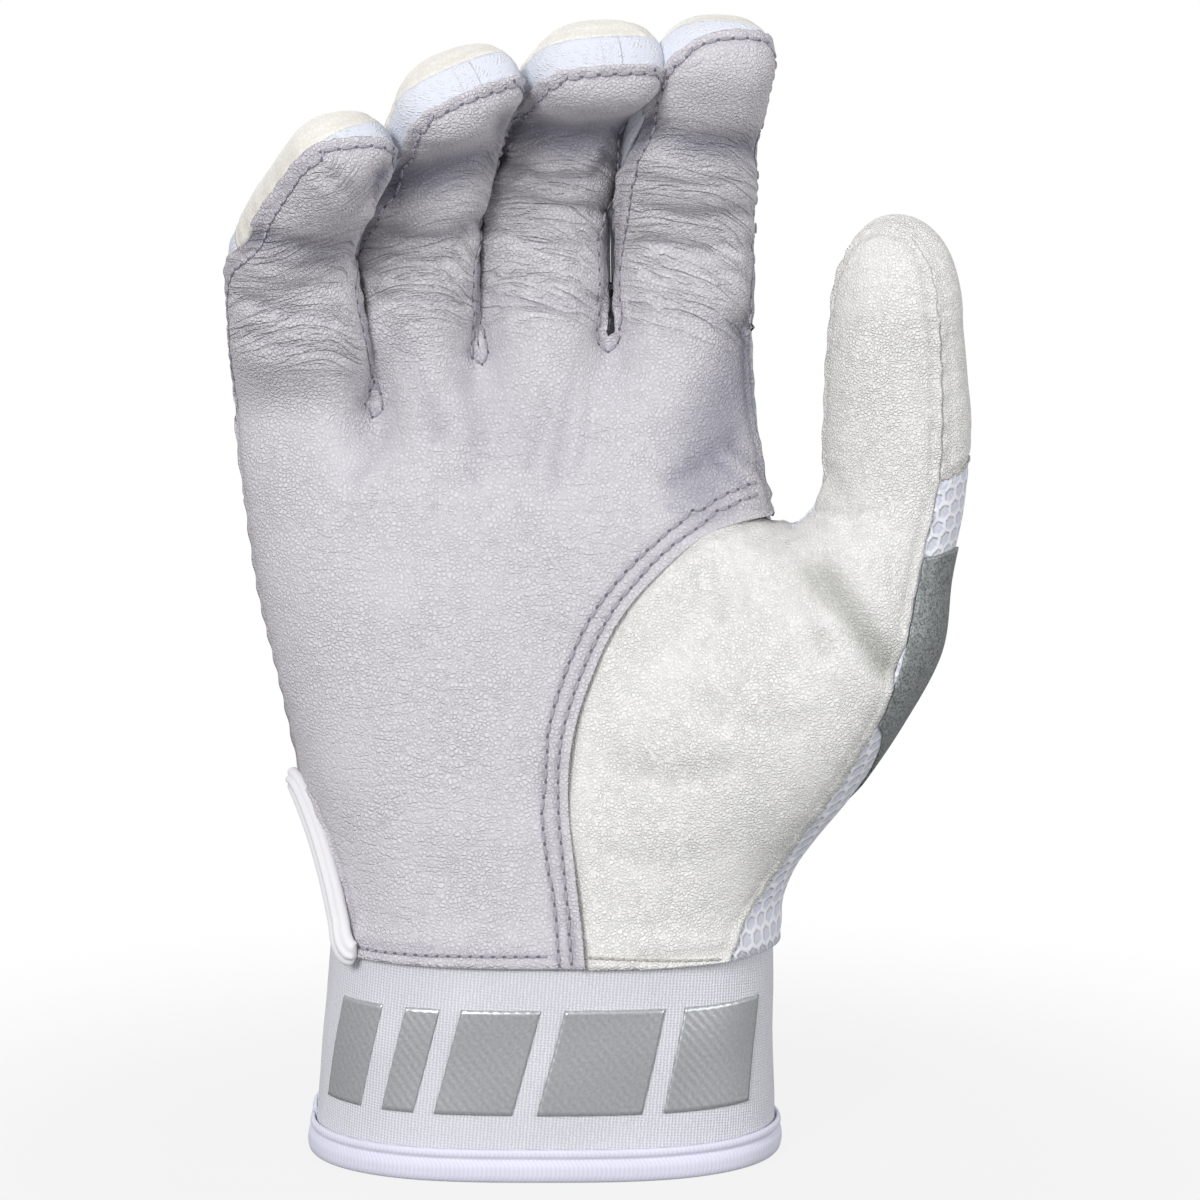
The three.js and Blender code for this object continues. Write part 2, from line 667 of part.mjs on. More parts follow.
// The thumb's side and back: t runs from the outer seam round the silhouette to the seam on the hand's back
function thumbSide(t, z) {
  const thumb = thumbAt(z);
  const apart = z >= webHeight;
  const right = Math.max(thumb.right, apart ? thumb.right : handAt(z).right);
  const gap = seamGap / 2;
  if (t < silhouetteShare) {
    const seam = outerSeamAt(z) + gap;
    const x = mix(seam, right, Math.sin(quarterTurn * t / silhouetteShare));
    return new THREE.Vector3(x, skin(x, z, front, apart), z);
  }
  const share = (t - silhouetteShare) / (1 - silhouetteShare);
  const turn = mix(quarterTurn, halfTurn - gap / thumb.half, ease(1 - (webHeight - z) / thumbWidth));
  const end = apart ? thumb.left + gap / thumbWidth : backSeamAt(z) + gap;
  const x = mix(right, end, (1 - Math.cos(turn * share)) / (1 - Math.cos(turn)));
  return new THREE.Vector3(x, skin(x, z, back, apart), z);
}

// Leather of the thumb's back, over the tip
function thumbBackLeather() {
  const trim = thumbTrim / thumbWidth;
  const rows = thumbBackRows + tipRows;
  const bodyRow = thumbBackRows / rows;
  const at = (u, v) => {
    if (v >= bodyRow) {
      const over = (v - bodyRow) / (1 - bodyRow);
      return thumbTip(mix(-1, 1, u), over, radians(thumbBackTurn) - trim, thumbFacing - fullTurn / 2);
    }
    return thumbSide(u, mix(thumbHemAt(u), thumbBodyEnd, v / bodyRow));
  };
  add("thumb_back_leather", shell([[at, sideColumns, rows]], leatherThickness), 0xe4e5e2, 0.6);
}

// Mesh cloth around the thumb's outer side, with the silver overlay on it
function thumbGusset() {
  const mesh = (t, v) => thumbSide(t, mix(cuffHeight + seamGap, thumbHemAt(t) - seamGap, v));
  const overlay = (u, v) => {
    const t = mix(overlayStartShare, overlayEndShare, u);
    const level = mix(overlayBottom(u), overlayTop(u), v);
    return thumbSide(t, cuffHeight + palmLength * level);
  };
  add("thumb_gusset_mesh", shell([[mesh, sideColumns, thumbSeamRows]], meshThickness), 0xdfe2e8, 0.85);
  const outside = lifted(overlay, overlayLift + overlayThickness);
  const silver = shell([[outside, sideColumns, overlayRows]], overlayThickness);
  add("silver_overlay", silver, 0xb4b5b6, 0.45, 0.5);
}

// A place around the cuff at a turn from the outer side over the front, at a height and off its surface
function cuffAt(turn, z, lift = 0) {
  const ring = handAt(cuffHeight);
  const level = limit(z / cuffHeight);
  const across = Math.cos(radians(turn));
  const half = mix(cuffWidth / 2, ring.half, level) + lift;
  const depth = mix(wristDepth / 2, ring.depth, level) + lift;
  const x = mix(ring.middle - cuffShift, ring.middle, level) + half * across;
  const y = -Math.sign(Math.sin(radians(turn))) * depth * Math.sqrt(1 - Math.abs(across) ** palmSquareness);
  return new THREE.Vector3(x, y, z);
}

// A sheet around the cuff between two turns and two heights
function cuffSheet(from, to, bottom, top, lift) {
  return (u, v) => {
    const turn = mix(from, to, u);
    return cuffAt(turn, mix(bottom, top, v), lift(turn));
  };
}

// A channel that holds the lower edge of a band: from its inner lip under the edge up to its outer lip
function channelSheet(from, to, bottom, height, inner, lift) {
  const wall = bindingThickness + seamGap;
  const corner = wall / 2;
  const outline = [
    [-inner - wall, height], [-inner - wall, wall], [-inner - corner, corner / 2], [-inner, 0],
    [0, 0], [corner, corner / 2], [wall, wall], [wall, height],
  ];
  const last = outline.length - 1;
  return (u, v) => {
    const turn = mix(from, to, u);
    const place = Math.min(Math.floor(v * last), last - 1);
    const [lowLift, lowLevel] = outline[place];
    const [highLift, highLevel] = outline[place + 1];
    const share = v * last - place;
    return cuffAt(turn, bottom + mix(lowLevel, highLevel, share), lift(turn) + mix(lowLift, highLift, share));
  };
}

const flush = () => 0;
const edgeClearance = bindingThickness + seamGap;

// The elastic band around the wrist and the tape that binds its lower edge
function cuffBand() {
  const band = cuffSheet(bandStartTurn, bandEndTurn, edgeClearance, cuffHeight, flush);
  const binding = channelSheet(bandStartTurn, bandEndTurn, 0, bindingHeight, bandThickness, flush);
  add("cuff_band", shell([[band, cuffColumns, 2]], bandThickness), 0xd3d3d9, 0.9);
  add("cuff_binding", shell([[binding, cuffColumns, bindingRows]], bindingThickness), 0xd8d8e6, 0.85);
}

const strapLift = 3 * seamGap + 2 * patchThickness + strapThickness;
const strapStartTurn = bandStartTurn + strapGapTurn;
const strapLiftAt = (turn) => strapLift * ease((turn - strapStartTurn) / strapRiseTurn);

// The strap that closes the cuff over its back, with its binding, its pull tab and the hook patch inside it
function strap() {
  const end = fullTurn + strapEndTurn;
  const patchEnd = end - patchGapTurn;
  const strapBottom = strapInset + edgeClearance + seamGap;
  const top = cuffHeight - strapTopInset;
  const sheet = cuffSheet(end, strapStartTurn, strapBottom, top, strapLiftAt);
  const bindingStart = strapStartTurn + strapBindingGapTurn;
  const binding = channelSheet(end, bindingStart, strapInset, bindingHeight, strapThickness, strapLiftAt);
  const hookLift = () => strapLift - strapThickness - seamGap;
  const patchBottom = bindingHeight + patchInset;
  const hook = cuffSheet(patchEnd, patchEnd - patchTurn, patchBottom, top - patchInset, hookLift);
  const tabLift = () => strapLift;
  const tab = cuffSheet(end + pullTabTurn, end + tabGapTurn, patchBottom, top - patchInset, tabLift);
  add("strap", shell([[sheet, strapColumns, 2]], strapThickness), 0xd3d3d9, 0.9);
  add("strap_binding", shell([[binding, strapColumns, bindingRows]], bindingThickness), 0xd8d8e6, 0.85);
  add("hook_patch", shell([[hook, patchColumns, 1]], patchThickness), 0xc4c5cb, 0.9);
  add("pull_tab", shell([[tab, tabColumns, 1]], strapThickness), 0xb4b5b6, 0.6);
}

// The loop patch on the band, under the strap's hooks
function loopPatch() {
  const start = fullTurn + strapEndTurn - strapGapTurn;
  const lift = () => seamGap + patchThickness;
  const bottom = bindingHeight + patchInset;
  const top = cuffHeight - strapTopInset - patchInset;
  const sheet = cuffSheet(start, start - patchTurn - loopExtraTurn, bottom, top, lift);
  add("loop_patch", shell([[sheet, patchColumns, 1]], patchThickness), 0xdadbe0, 0.95);
}

// Slanted bars of foil printed on the front of the band
function foilBars() {
  printStartTurns.forEach((start, place) => {
    const at = (u, v) => {
      const turn = start - printWidthTurns[place] * u + printSlantTurn * v;
      return cuffAt(turn, printBottom + printHeight * v, seamGap + printThickness);
    };
    add(`foil_bar_${place + 1}`, shell([[at, printColumns, 1]], printThickness), 0xadb1b4, 0.35, 0.7);
  });
}

// The rolled tape around the vent: up beside the palm leather, over its top and down beside the mesh back
function ventBinding() {
  const outside = tapeWidth / 2 + seamGap;
  const points = spaced(-1, 1, ventSteps).map((share) => {
    const side = share < 0 ? front : back;
    const level = 1 - Math.abs(share) ** 2;
    const z = cuffHeight + tapeWidth + (ventHeight - tapeWidth) * level;
    const drawIn = (share < 0 ? ventDrawIn : ventBackDrawIn) * ventOpenAt(z);
    const edge = handAt(z).left + drawIn;
    const x = edge - outside;
    const y = skin(edge, z, side) * tapeTuckShare * Math.sqrt(Math.abs(share));
    return new THREE.Vector3(x, y, z);
  });
  add("vent_binding", rod(points, tapeWidth / 2, tapeSides, tapeSteps), 0xc9c7ce, 0.85);
}

const threadLiftOff = threadWidth / 2 + seamGap;

function thread(name, points) {
  add(name, rod(points, threadWidth / 2, threadSides, threadSteps), 0xe9e8ec, 0.7);
}

// The double row of stitches beside the thumb seam, and the row along the hem on the cuff
function palmThreads() {
  const surface = lifted(palmPatch, threadLiftOff);
  [seamRowInset, seamRowInset + seamRowSpacing].forEach((inset, place) => {
    const points = spaced(hemInset / palmLength, seamEndShare - 1 / palmRows, threadPoints).map((v) => {
      const width = palmPatch(1, v).x - palmPatch(0, v).x;
      return surface(1 - inset / width, v);
    });
    thread(`seam_thread_${place + 1}`, points);
  });
  const hemLevel = hemInset / palmLength;
  thread("palm_hem_thread", spaced(...hemThreadShares, threadPoints).map((c) => surface(c, hemLevel)));
}

// The row of stitches along the hem of each finger's front leather
function fingerThreads() {
  for (const finger of hand) {
    const surface = lifted(fingerSheet(finger, front), threadLiftOff);
    const level = 1 - tipShare * hemInset / finger.tip;
    const row = spaced(...tipThreadShares, threadPoints).map((u) => surface(u, level));
    thread(`tip_thread_${finger.name}`, row);
  }
}

palmLeather();
handBack();
fingerBacks();
fourchettes();
thumbLeather();
thumbBackLeather();
thumbGusset();
cuffBand();
strap();
loopPatch();
foilBars();
ventBinding();
palmThreads();
fingerThreads();

// The glove stands with the middle of its base at the origin
const extent = new THREE.Box3().setFromObject(glove, true);
const centre = extent.getCenter(new THREE.Vector3());
glove.position.set(-centre.x, -centre.y, -extent.min.z);

export default glove;
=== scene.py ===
"""Batting glove for the right hand: palm towards -Y, fingers up, thumb towards +X, standing on its cuff.

Sizes are millimetres in the hand's own frame, whose X runs through the middle of the palm; the last step of every
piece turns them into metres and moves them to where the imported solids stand.
"""
import logging
import math
from dataclasses import dataclass
from enum import Enum, IntEnum
from typing import Any, Callable, Optional, Sequence

import bmesh
import bpy
import numpy as np
from mathutils import Matrix, Quaternion, Vector
from mathutils.bvhtree import BVHTree


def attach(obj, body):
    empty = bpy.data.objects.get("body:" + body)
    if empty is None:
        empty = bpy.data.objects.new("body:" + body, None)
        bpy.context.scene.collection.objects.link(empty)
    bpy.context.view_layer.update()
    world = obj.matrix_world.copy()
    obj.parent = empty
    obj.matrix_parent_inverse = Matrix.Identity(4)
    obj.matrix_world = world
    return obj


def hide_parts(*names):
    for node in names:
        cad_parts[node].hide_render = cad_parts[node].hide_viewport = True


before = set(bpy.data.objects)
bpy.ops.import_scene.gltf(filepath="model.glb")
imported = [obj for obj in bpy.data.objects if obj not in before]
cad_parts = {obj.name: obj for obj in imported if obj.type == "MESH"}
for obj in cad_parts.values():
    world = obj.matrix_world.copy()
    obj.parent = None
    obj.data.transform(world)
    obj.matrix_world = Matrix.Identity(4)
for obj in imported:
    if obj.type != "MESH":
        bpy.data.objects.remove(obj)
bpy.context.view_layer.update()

LOG = logging.getLogger("glove")
MM = 0.001
HAND_TO_FRAME = np.array((-9.22577, 6.59289, 0.0))
FAR = 99.0               # millimetres from any seam
BAND_SCALE = 0.31416     # scale of a wave texture whose bands repeat once a unit
Array = np.ndarray
Surface = Callable[[Array, Array], Array]
Level = Callable[[Array], Array]


class Body(Enum):
    """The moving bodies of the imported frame."""

    GLOVE = "glove"
    STRAP = "strap"


class Seam(Enum):
    """The edges of a sheet that are sewn or hemmed."""

    LEFT = "left"
    RIGHT = "right"
    TOP = "top"
    BOTTOM = "bottom"


class Seed(IntEnum):
    """Numbers that start the unevenness of the panels; a finger adds its place."""

    PALM = 11
    THUMB = 23
    BACK = 31
    KNUCKLE = 41
    FINGER_BACK = 51
    THUMB_BACK = 61
    THUMB_SIDE = 71


SIDES = frozenset({Seam.LEFT, Seam.RIGHT})
ALL_ROUND = frozenset(Seam)


def mix(low: Any, high: Any, share: Any) -> Any:
    """Value at a share of the way from low to high."""
    return low + (high - low) * share


def limit(share: Any) -> Any:
    """Share held between 0 and 1."""
    return np.clip(share, 0.0, 1.0)


def ease(share: Any) -> Any:
    """Share held between 0 and 1 that starts and ends gently."""
    held = limit(share)
    return held * held * (3 - 2 * held)


def risen(value: Any, span: Sequence[float]) -> Any:
    """Share that rises gently from 0 at the first number of a span to 1 as far on as the second says."""
    return ease((value - span[0]) / span[1])


def bell(reach: Any, width: float) -> Any:
    """Share that falls from 1 to 0 on both sides of nothing."""
    return np.exp(-((reach / width) ** 2))


def unit(ways: Array, least: float = 1e-9) -> Array:
    """Directions of length one."""
    return ways / np.maximum(np.linalg.norm(ways, axis=-1, keepdims=True), least)


def choose(chosen: Array, first: Array, second: Array) -> Array:
    """Points of the first kind where they are chosen, and of the second elsewhere."""
    return np.where(chosen[..., None], first, second)


def stack(*parts: Any) -> Array:
    """Coordinates joined into points, broadcast to one length."""
    return np.stack(np.broadcast_arrays(*[np.asarray(part, float) for part in parts]), -1)


@dataclass(frozen=True)
class SmoothCurve:
    """A smooth curve through evenly numbered points.

    Args:
        points: The points it passes through.
        steps: How finely its length is measured.
    """

    points: tuple[tuple[float, ...], ...]
    steps: int = 200

    def at(self, t: Array) -> Array:
        """Point at a numbered place from 0 to 1."""
        values = np.asarray(self.points, float)
        last = len(values) - 1
        place = limit(t) * last
        low = np.minimum(np.floor(place).astype(int), last)
        w = (place - low)[..., None]
        before, start, end, after = (values[np.clip(low + k, 0, last)] for k in (-1, 0, 1, 2))
        leave, arrive = (end - before) / 2, (after - start) / 2
        cubic = 2 * start - 2 * end + leave + arrive
        square = -3 * start + 3 * end - 2 * leave - arrive
        return ((cubic * w + square) * w + leave) * w + start

    def place(self, share: Array) -> Array:
        """Numbered place at a share of the curve's length."""
        stations = np.linspace(0, 1, self.steps + 1)
        lengths = np.concatenate([[0], np.cumsum(np.linalg.norm(np.diff(self.at(stations), axis=0), axis=1))])
        return np.interp(limit(share) * lengths[-1], lengths, stations)

    def at_share(self, share: Array) -> Array:
        """Point at a share of the curve's length."""
        return self.at(self.place(np.asarray(share, float)))

    def tangent(self, share: Array) -> Array:
        """Direction of the curve at a share of its length."""
        place = self.place(np.asarray(share, float))
        return unit(self.at(limit(place + 1e-4)) - self.at(limit(place - 1e-4)))


def profile(shares: Sequence[float]) -> Level:
    """A smooth value along evenly spaced shares."""
    curve = SmoothCurve(tuple((value,) for value in shares))
    return lambda share: curve.at(np.asarray(share, float))[..., 0]


@dataclass
class Section:
    """A section through the hand or the thumb at each height."""

    left: Array
    right: Array
    depth: Array
    forward: Any = 0.0

    @property
    def middle(self) -> Array:
        """Place half way across."""
        return (self.left + self.right) / 2

    @property
    def half(self) -> Array:
        """Half of the width."""
        return (self.right - self.left) / 2


@dataclass
class HandForm:
    """The hand that fills the glove, with its skin, its seams and its webs."""

    knuckle_width: float = 92.0
    wrist_depth: float = 49.0
    palm_length: float = 105.0
    thumb_length: float = 127.5
    thumb_width: float = 26.0
    thumb_tip: float = 17.5
    softness: float = 8.0
    cuff_height: float = 40.0
    web_height: float = 112.4
    seam_gap: float = 0.3
    vent_height: float = 27.0
    vent_draw_in: float = 4.8
    vent_back_draw_in: float = 3.5
    web_half_depth: float = 4.0
    thumb_web_half_depth: float = 2.5
    valley_width: float = 4.5
    valley_reach: float = 15.0
    palm_power: float = 3.0
    seam_end_share: float = 7 / 9
    left_shares: tuple[float, ...] = (-0.424, -0.446, -0.484, -0.518, -0.555, -0.578, -0.5962, -0.5995)
    right_shares: tuple[float, ...] = (0.439, 0.44, 0.44, 0.437, 0.435, 0.43, 0.406, 0.397)
    depth_shares: tuple[float, ...] = (0.5, 0.469, 0.439, 0.408, 0.378, 0.337, 0.276, 0.235)
    thumb_middle_shares: tuple[float, ...] = (
        0.261, 0.27, 0.328, 0.393, 0.471, 0.553, 0.652, 0.664, 0.659, 0.66, 0.668)
    thumb_half_shares: tuple[float, ...] = (
        0.631, 0.762, 0.923, 1.015, 0.992, 0.765, 0.507, 0.493, 0.462, 0.423, 0.385)
    thumb_forward_shares: tuple[float, ...] = (
        0, 0.041, 0.082, 0.102, 0.102, 0.092, 0.082, 0.122, 0.163, 0.204, 0.245)
    thumb_depth_shares: tuple[float, ...] = (
        0.347, 0.378, 0.398, 0.398, 0.367, 0.306, 0.255, 0.235, 0.22, 0.204, 0.184)
    palm_seam_shares: tuple[tuple[float, float], ...] = (
        (0.071, 0.003), (0.053, 0.138), (0.04, 0.255), (0.048, 0.355), (0.082, 0.455),
        (0.137, 0.554), (0.212, 0.629), (0.286, 0.681), (0.359, 0.705), (0.43, 0.712))
    outer_seam_shares: tuple[float, ...] = (
        0.338, 0.415, 0.487, 0.561, 0.623, 0.662, 0.686, 0.709, 0.733, 0.739, 0.736, 0.73)
    back_seam_shares: tuple[float, ...] = (0.299, 0.266, 0.245, 0.239, 0.255, 0.293, 0.348, 0.448)
    thumb_hem_shares: tuple[float, ...] = (0.776, 0.815, 0.738)
    web_shares: tuple[tuple[float, float], ...] = ((-0.33, 0.901), (-0.129, 0.988), (0.115, 1.01))
    outer_web_shares: tuple[tuple[float, float], ...] = ((-0.6, 0.901), (0.391, 1.01))

    def __post_init__(self) -> None:
        """Draws the smooth outlines and seams from their shares."""
        self.left, self.right = profile(self.left_shares), profile(self.right_shares)
        self.depth = profile(self.depth_shares)
        self.thumb_middle, self.thumb_half = profile(self.thumb_middle_shares), profile(self.thumb_half_shares)
        self.thumb_forward = profile(self.thumb_forward_shares)
        self.thumb_depth = profile(self.thumb_depth_shares)
        self.outer_seam, self.back_seam = profile(self.outer_seam_shares), profile(self.back_seam_shares)
        self.palm_seam = SmoothCurve(tuple(tuple(self.front_point(pair)) for pair in self.palm_seam_shares))
        self.webs = [self.front_point(pair) for pair in self.web_shares]
        self.outer_webs = [self.front_point(pair) for pair in self.outer_web_shares]
        self.thumb_body_end = self.cuff_height + self.thumb_length - self.thumb_tip

    def front_point(self, pair: Sequence[float]) -> Array:
        """Place across and up from a pair of shares."""
        return np.array((self.knuckle_width * pair[0], self.cuff_height + self.palm_length * pair[1]))

    def hand_at(self, z: Array) -> Section:
        """Section of the hand without its thumb at a height."""
        level = (z - self.cuff_height) / self.palm_length
        return Section(self.knuckle_width * self.left(level), self.knuckle_width * self.right(level),
                       self.wrist_depth * self.depth(level))

    def thumb_at(self, z: Array) -> Section:
        """Section of the thumb and its ball at a height."""
        level = (z - self.cuff_height) / self.thumb_length
        middle = self.knuckle_width * self.thumb_middle(level)
        half = self.thumb_width * self.thumb_half(level)
        return Section(middle - half, middle + half, self.wrist_depth * self.thumb_depth(level),
                       self.wrist_depth * self.thumb_forward(level))

    def outer_seam_at(self, z: Array) -> Array:
        """Place across of the thumb's outer seam at a height."""
        return self.knuckle_width * self.outer_seam((z - self.cuff_height) / (self.thumb_body_end - self.cuff_height))

    def back_seam_at(self, z: Array) -> Array:
        """Place across of the seam between the gusset and the back at a height."""
        return self.knuckle_width * self.back_seam((z - self.cuff_height) / (self.web_height - self.cuff_height))

    def swell(self, x: Array, section: Section, power: float) -> Array:
        """How far a rounded section stands out at a place across it, falling steeply outside it."""
        across = np.abs(x - section.middle) / section.half
        round_part = section.depth * np.sqrt(np.maximum(1 - np.minimum(across, 1) ** power, 0))
        return np.where(across > 1, (1 - across) * section.half * self.palm_power, round_part)

    def skin(self, x: Array, z: Array, side: float, on_thumb: Any = False) -> Array:
        """Depth of the skin on one side.

        Args:
            x: Place across.
            z: Height.
            side: 1 on the front and -1 on the back.
            on_thumb: Whether a place above the web belongs to the thumb.

        Returns:
            The Y coordinate of the skin.
        """
        hand, thumb = self.hand_at(z), self.thumb_at(z)
        hand_swell = self.swell(np.maximum(x, hand.left), hand, self.palm_power)
        thumb_swell = self.swell(x, thumb, 2) + side * thumb.forward
        near_web = limit(1 - (z - self.web_height) / self.softness) * limit((x - hand.middle) / hand.half)
        least = np.where(on_thumb, side * thumb.forward, self.thumb_web_half_depth * near_web)
        apart = np.maximum(np.where(on_thumb, thumb_swell, hand_swell), least)
        inside = limit(np.minimum(x - hand.left, np.maximum(hand.right, thumb.right) - x) / self.softness)
        softness = self.softness * inside * limit((self.web_height - z) / self.softness)
        near = np.maximum(softness - np.abs(hand_swell - thumb_swell), 0)
        filled = near * near / (4 * np.maximum(softness, 1e-9))
        joined = np.maximum(hand_swell, thumb_swell) + filled
        joined = np.maximum(joined, mix(-self.wrist_depth, self.thumb_web_half_depth, inside))
        return -side * np.where(z >= self.web_height, apart, joined)

    def vent_open_at(self, z: Array) -> Array:
        """How far the vent is open at a height, as a share of its draw-in at the cuff."""
        return np.sqrt(limit(1 - (z - self.cuff_height) / self.vent_height))

    def dented(self, x: Array, z: Array, side: float) -> Array:
        """Depth of the hand's skin with the valleys that run down from the webs."""
        y = -side * np.maximum(-side * self.skin(x, z, side), 0)
        for web in self.webs:
            near = bell(x - web[0], self.valley_width)
            y = mix(y, -side * self.web_half_depth, near * ease((z - web[1] + self.valley_reach) / self.valley_reach))
        return y


@dataclass
class FingerForm:
    """One finger of the glove: the lengths of its parts, and how far each one bends, leans and twists."""

    name: str
    place: int
    middle_share: float
    width: float
    parts: tuple[float, float, float]
    tip: float
    bends: tuple[float, float, float]
    leans: tuple[float, float, float]
    twist: float
    width_shares: tuple[float, ...]
    fills: tuple[float, float] = (0.0, 0.0)
    fill_end: float = 62.0
    slits: tuple[float, float] = (0.0, 0.0)
    depth: float = 19.0
    base_share: float = 0.743
    depth_shares: tuple[float, ...] = (1, 1, 0.92, 0.85, 0.8)
    power: float = 2.5
    root_blend: float = 14.0
    joint_softness: float = 15.0
    path_steps: int = 90
    inner_turn: float = 69.5
    outer_turn: float = 90.0
    tip_share: float = 3 / 11
    last_place: int = 3
    front_turn: float = 86.0
    front_turn_end: float = 0.5
    front_turn_fade: float = 0.35
    over_seam: float = 0.45
    fill_start: float = 0.4
    fill_rise: float = 6.0
    fill_loss: float = 0.6
    fill_fade: float = 14.0
    slit_fill: float = 0.3
    slit_close: float = 9.0

    def lay(self, form: HandForm) -> "FingerForm":
        """Draws the finger's middle line on a hand and returns the finger."""
        self.form = form
        self.length = sum(self.parts)
        self.step = self.length / self.path_steps
        self.body_end = self.length - self.tip
        self.left_web = form.webs[self.place - 1] if self.place > 0 else form.outer_webs[0]
        self.right_web = form.webs[self.place] if self.place < self.last_place else form.outer_webs[1]
        root = form.front_point((self.middle_share, self.base_share))
        self.start_left, self.start_right = self.left_web[1] - root[1], self.right_web[1] - root[1]
        self.left_turn = math.radians(self.inner_turn if self.place > 0 else self.outer_turn)
        self.right_turn = math.radians(self.inner_turn if self.place < self.last_place else self.outer_turn)
        self.width_at, self.depth_at = profile(self.width_shares), profile(self.depth_shares)
        centre = Vector((root[0], 0, root[1]))
        centres, acrosses, palmwards = [], [], []
        for index in range(self.path_steps + 1):
            s = index * self.step
            at_second = float(ease((s - self.parts[0]) / self.joint_softness + 0.5))
            at_third = float(ease((s - self.parts[0] - self.parts[1]) / self.joint_softness + 0.5))
            rooted = float(ease(s / self.root_blend))
            curl = (self.bends[0] * rooted + (self.bends[1] - self.bends[0]) * at_second
                    + (self.bends[2] - self.bends[1]) * at_third)
            tilt = (self.leans[0] + (self.leans[1] - self.leans[0]) * at_second
                    + (self.leans[2] - self.leans[1]) * at_third)
            side_axis = Vector((1, 0, 0))
            ahead = Quaternion(side_axis, math.radians(curl)) @ Vector((0, 0, 1))
            down = side_axis.cross(ahead)
            lean = Quaternion(down, -math.radians(tilt))
            along = lean @ ahead
            across = Quaternion(along, math.radians(self.twist * at_second)) @ (lean @ side_axis)
            centres.append(tuple(centre))
            acrosses.append(tuple(across))
            palmwards.append(tuple(across.cross(along)))
            centre = centre + along * self.step
        self.centres, self.acrosses, self.palmwards = map(np.array, (centres, acrosses, palmwards))
        return self

    def turn_at(self, level: Array, left: bool, side: float) -> Array:
        """Turn at which a side seam runs: beside the slot the front leather reaches round to the neighbour."""
        turn = self.left_turn if left else self.right_turn
        inner = self.place > 0 if left else self.place < self.last_place
        if side > 0 and inner:
            return mix(math.radians(self.front_turn), turn, ease((level - self.front_turn_end) / self.front_turn_fade))
        return np.full_like(np.asarray(level, float), turn)

    def skin_at(self, s: Array, ball: Array, side: float) -> Array:
        """Points on the finger's skin.

        Args:
            s: Length along the finger.
            ball: Direction on a unit ball: across, towards the palm, towards the tip.
            side: 1 or -1 where the finger grows out of the hand's front or back, 0 between two fingers.

        Returns:
            The points.
        """
        power = 2 / self.power
        along = s + self.tip * np.maximum(ball[..., 2], 0) ** power
        place = np.clip(along / self.step, 0, self.path_steps)
        low = np.minimum(np.floor(place).astype(int), self.path_steps - 1)
        share = (place - low)[..., None]
        half = self.width * self.width_at(along / self.length) / 2
        depth = self.depth * self.depth_at(along / self.length) / 2
        centre, across, palmward = (mix(line[low], line[low + 1], share)
                                    for line in (self.centres, self.acrosses, self.palmwards))
        start = mix(self.start_left, self.start_right, (ball[..., 0] + 1) / 2)
        filled = (ease((s - start - self.fill_start) / self.fill_rise)
                  * (1 - self.fill_loss * ease((along - self.fill_end) / self.fill_fade)))
        slit = np.where(ball[..., 0] > 0, self.slits[1], self.slits[0])
        filled = filled * np.where(slit > 0, mix(self.slit_fill, 1, ease((s - start - slit) / self.slit_close)), 1)
        half = half + np.where(ball[..., 0] > 0, self.fills[1], self.fills[0]) * filled
        aside = half * np.sign(ball[..., 0]) * np.abs(ball[..., 0]) ** power
        points = centre + across * aside[..., None] + palmward * (depth * ball[..., 1])[..., None]
        if side:
            own = ease((s - start) / self.root_blend)
            rooted = self.form.dented(points[..., 0], points[..., 2], side)
            points[..., 1] = np.where(own < 1, mix(rooted, points[..., 1], own), points[..., 1])
        return points

    def sheet(self, side: float, start: Optional[float] = None, end: Optional[float] = None) -> Surface:
        """Front or back sheet of the finger.

        Args:
            side: 1 for the front and -1 for the back.
            start: Length along the finger where the sheet starts, or None for the webs.
            end: Length where it ends, or None for over the tip.

        Returns:
            The sheet's surface.
        """
        over_edge = (self.over_seam if side > 0 else 0.0) / self.depth * 2

        def surface(u: Array, v: Array) -> Array:
            """Points at shares across and along the sheet."""
            first = mix(self.start_left, self.start_right, u) if start is None else start
            body = 1 - self.tip_share if end is None else 1.0
            s = mix(first, self.body_end if end is None else end, limit(v / body))
            over = limit((v - body) / self.tip_share) if end is None else np.zeros_like(v)
            turns = [self.turn_at(v / body, left, side) for left in (True, False)]
            ball = ball_at(2 * u - 1, over, mix(turns[0], turns[1], u) + over_edge)
            ball[..., 1] *= side
            points = self.skin_at(s, ball, side)
            if start is None:
                corners = [(0, self.left_web)] * (self.place > 0)
                corners += [(1, self.right_web)] * (self.place < self.last_place)
                for edge, web in corners:
                    points[(v == 0) & (u == edge)] = (web[0], -side * self.form.web_half_depth, web[1])
            return points

        return surface


def ball_at(a: Array, b: Array, turn: Array, facing: float = math.pi / 2) -> Array:
    """Place of a sheet on the unit ball.

    Args:
        a: Across the sheet from -1 to 1.
        b: 0 where the tip starts to 1 at the tip's seam.
        turn: Angle from the sheet's middle to its edge.
        facing: Direction of the sheet's middle.

    Returns:
        Directions on the ball.
    """
    reach = np.maximum(np.abs(a), b) * turn
    around = np.arctan2(b, a)
    aside, ahead = np.sin(reach) * np.cos(around), np.cos(reach)
    return stack(ahead * math.cos(facing) + aside * math.sin(facing),
                 ahead * math.sin(facing) - aside * math.cos(facing), np.sin(reach) * np.sin(around))


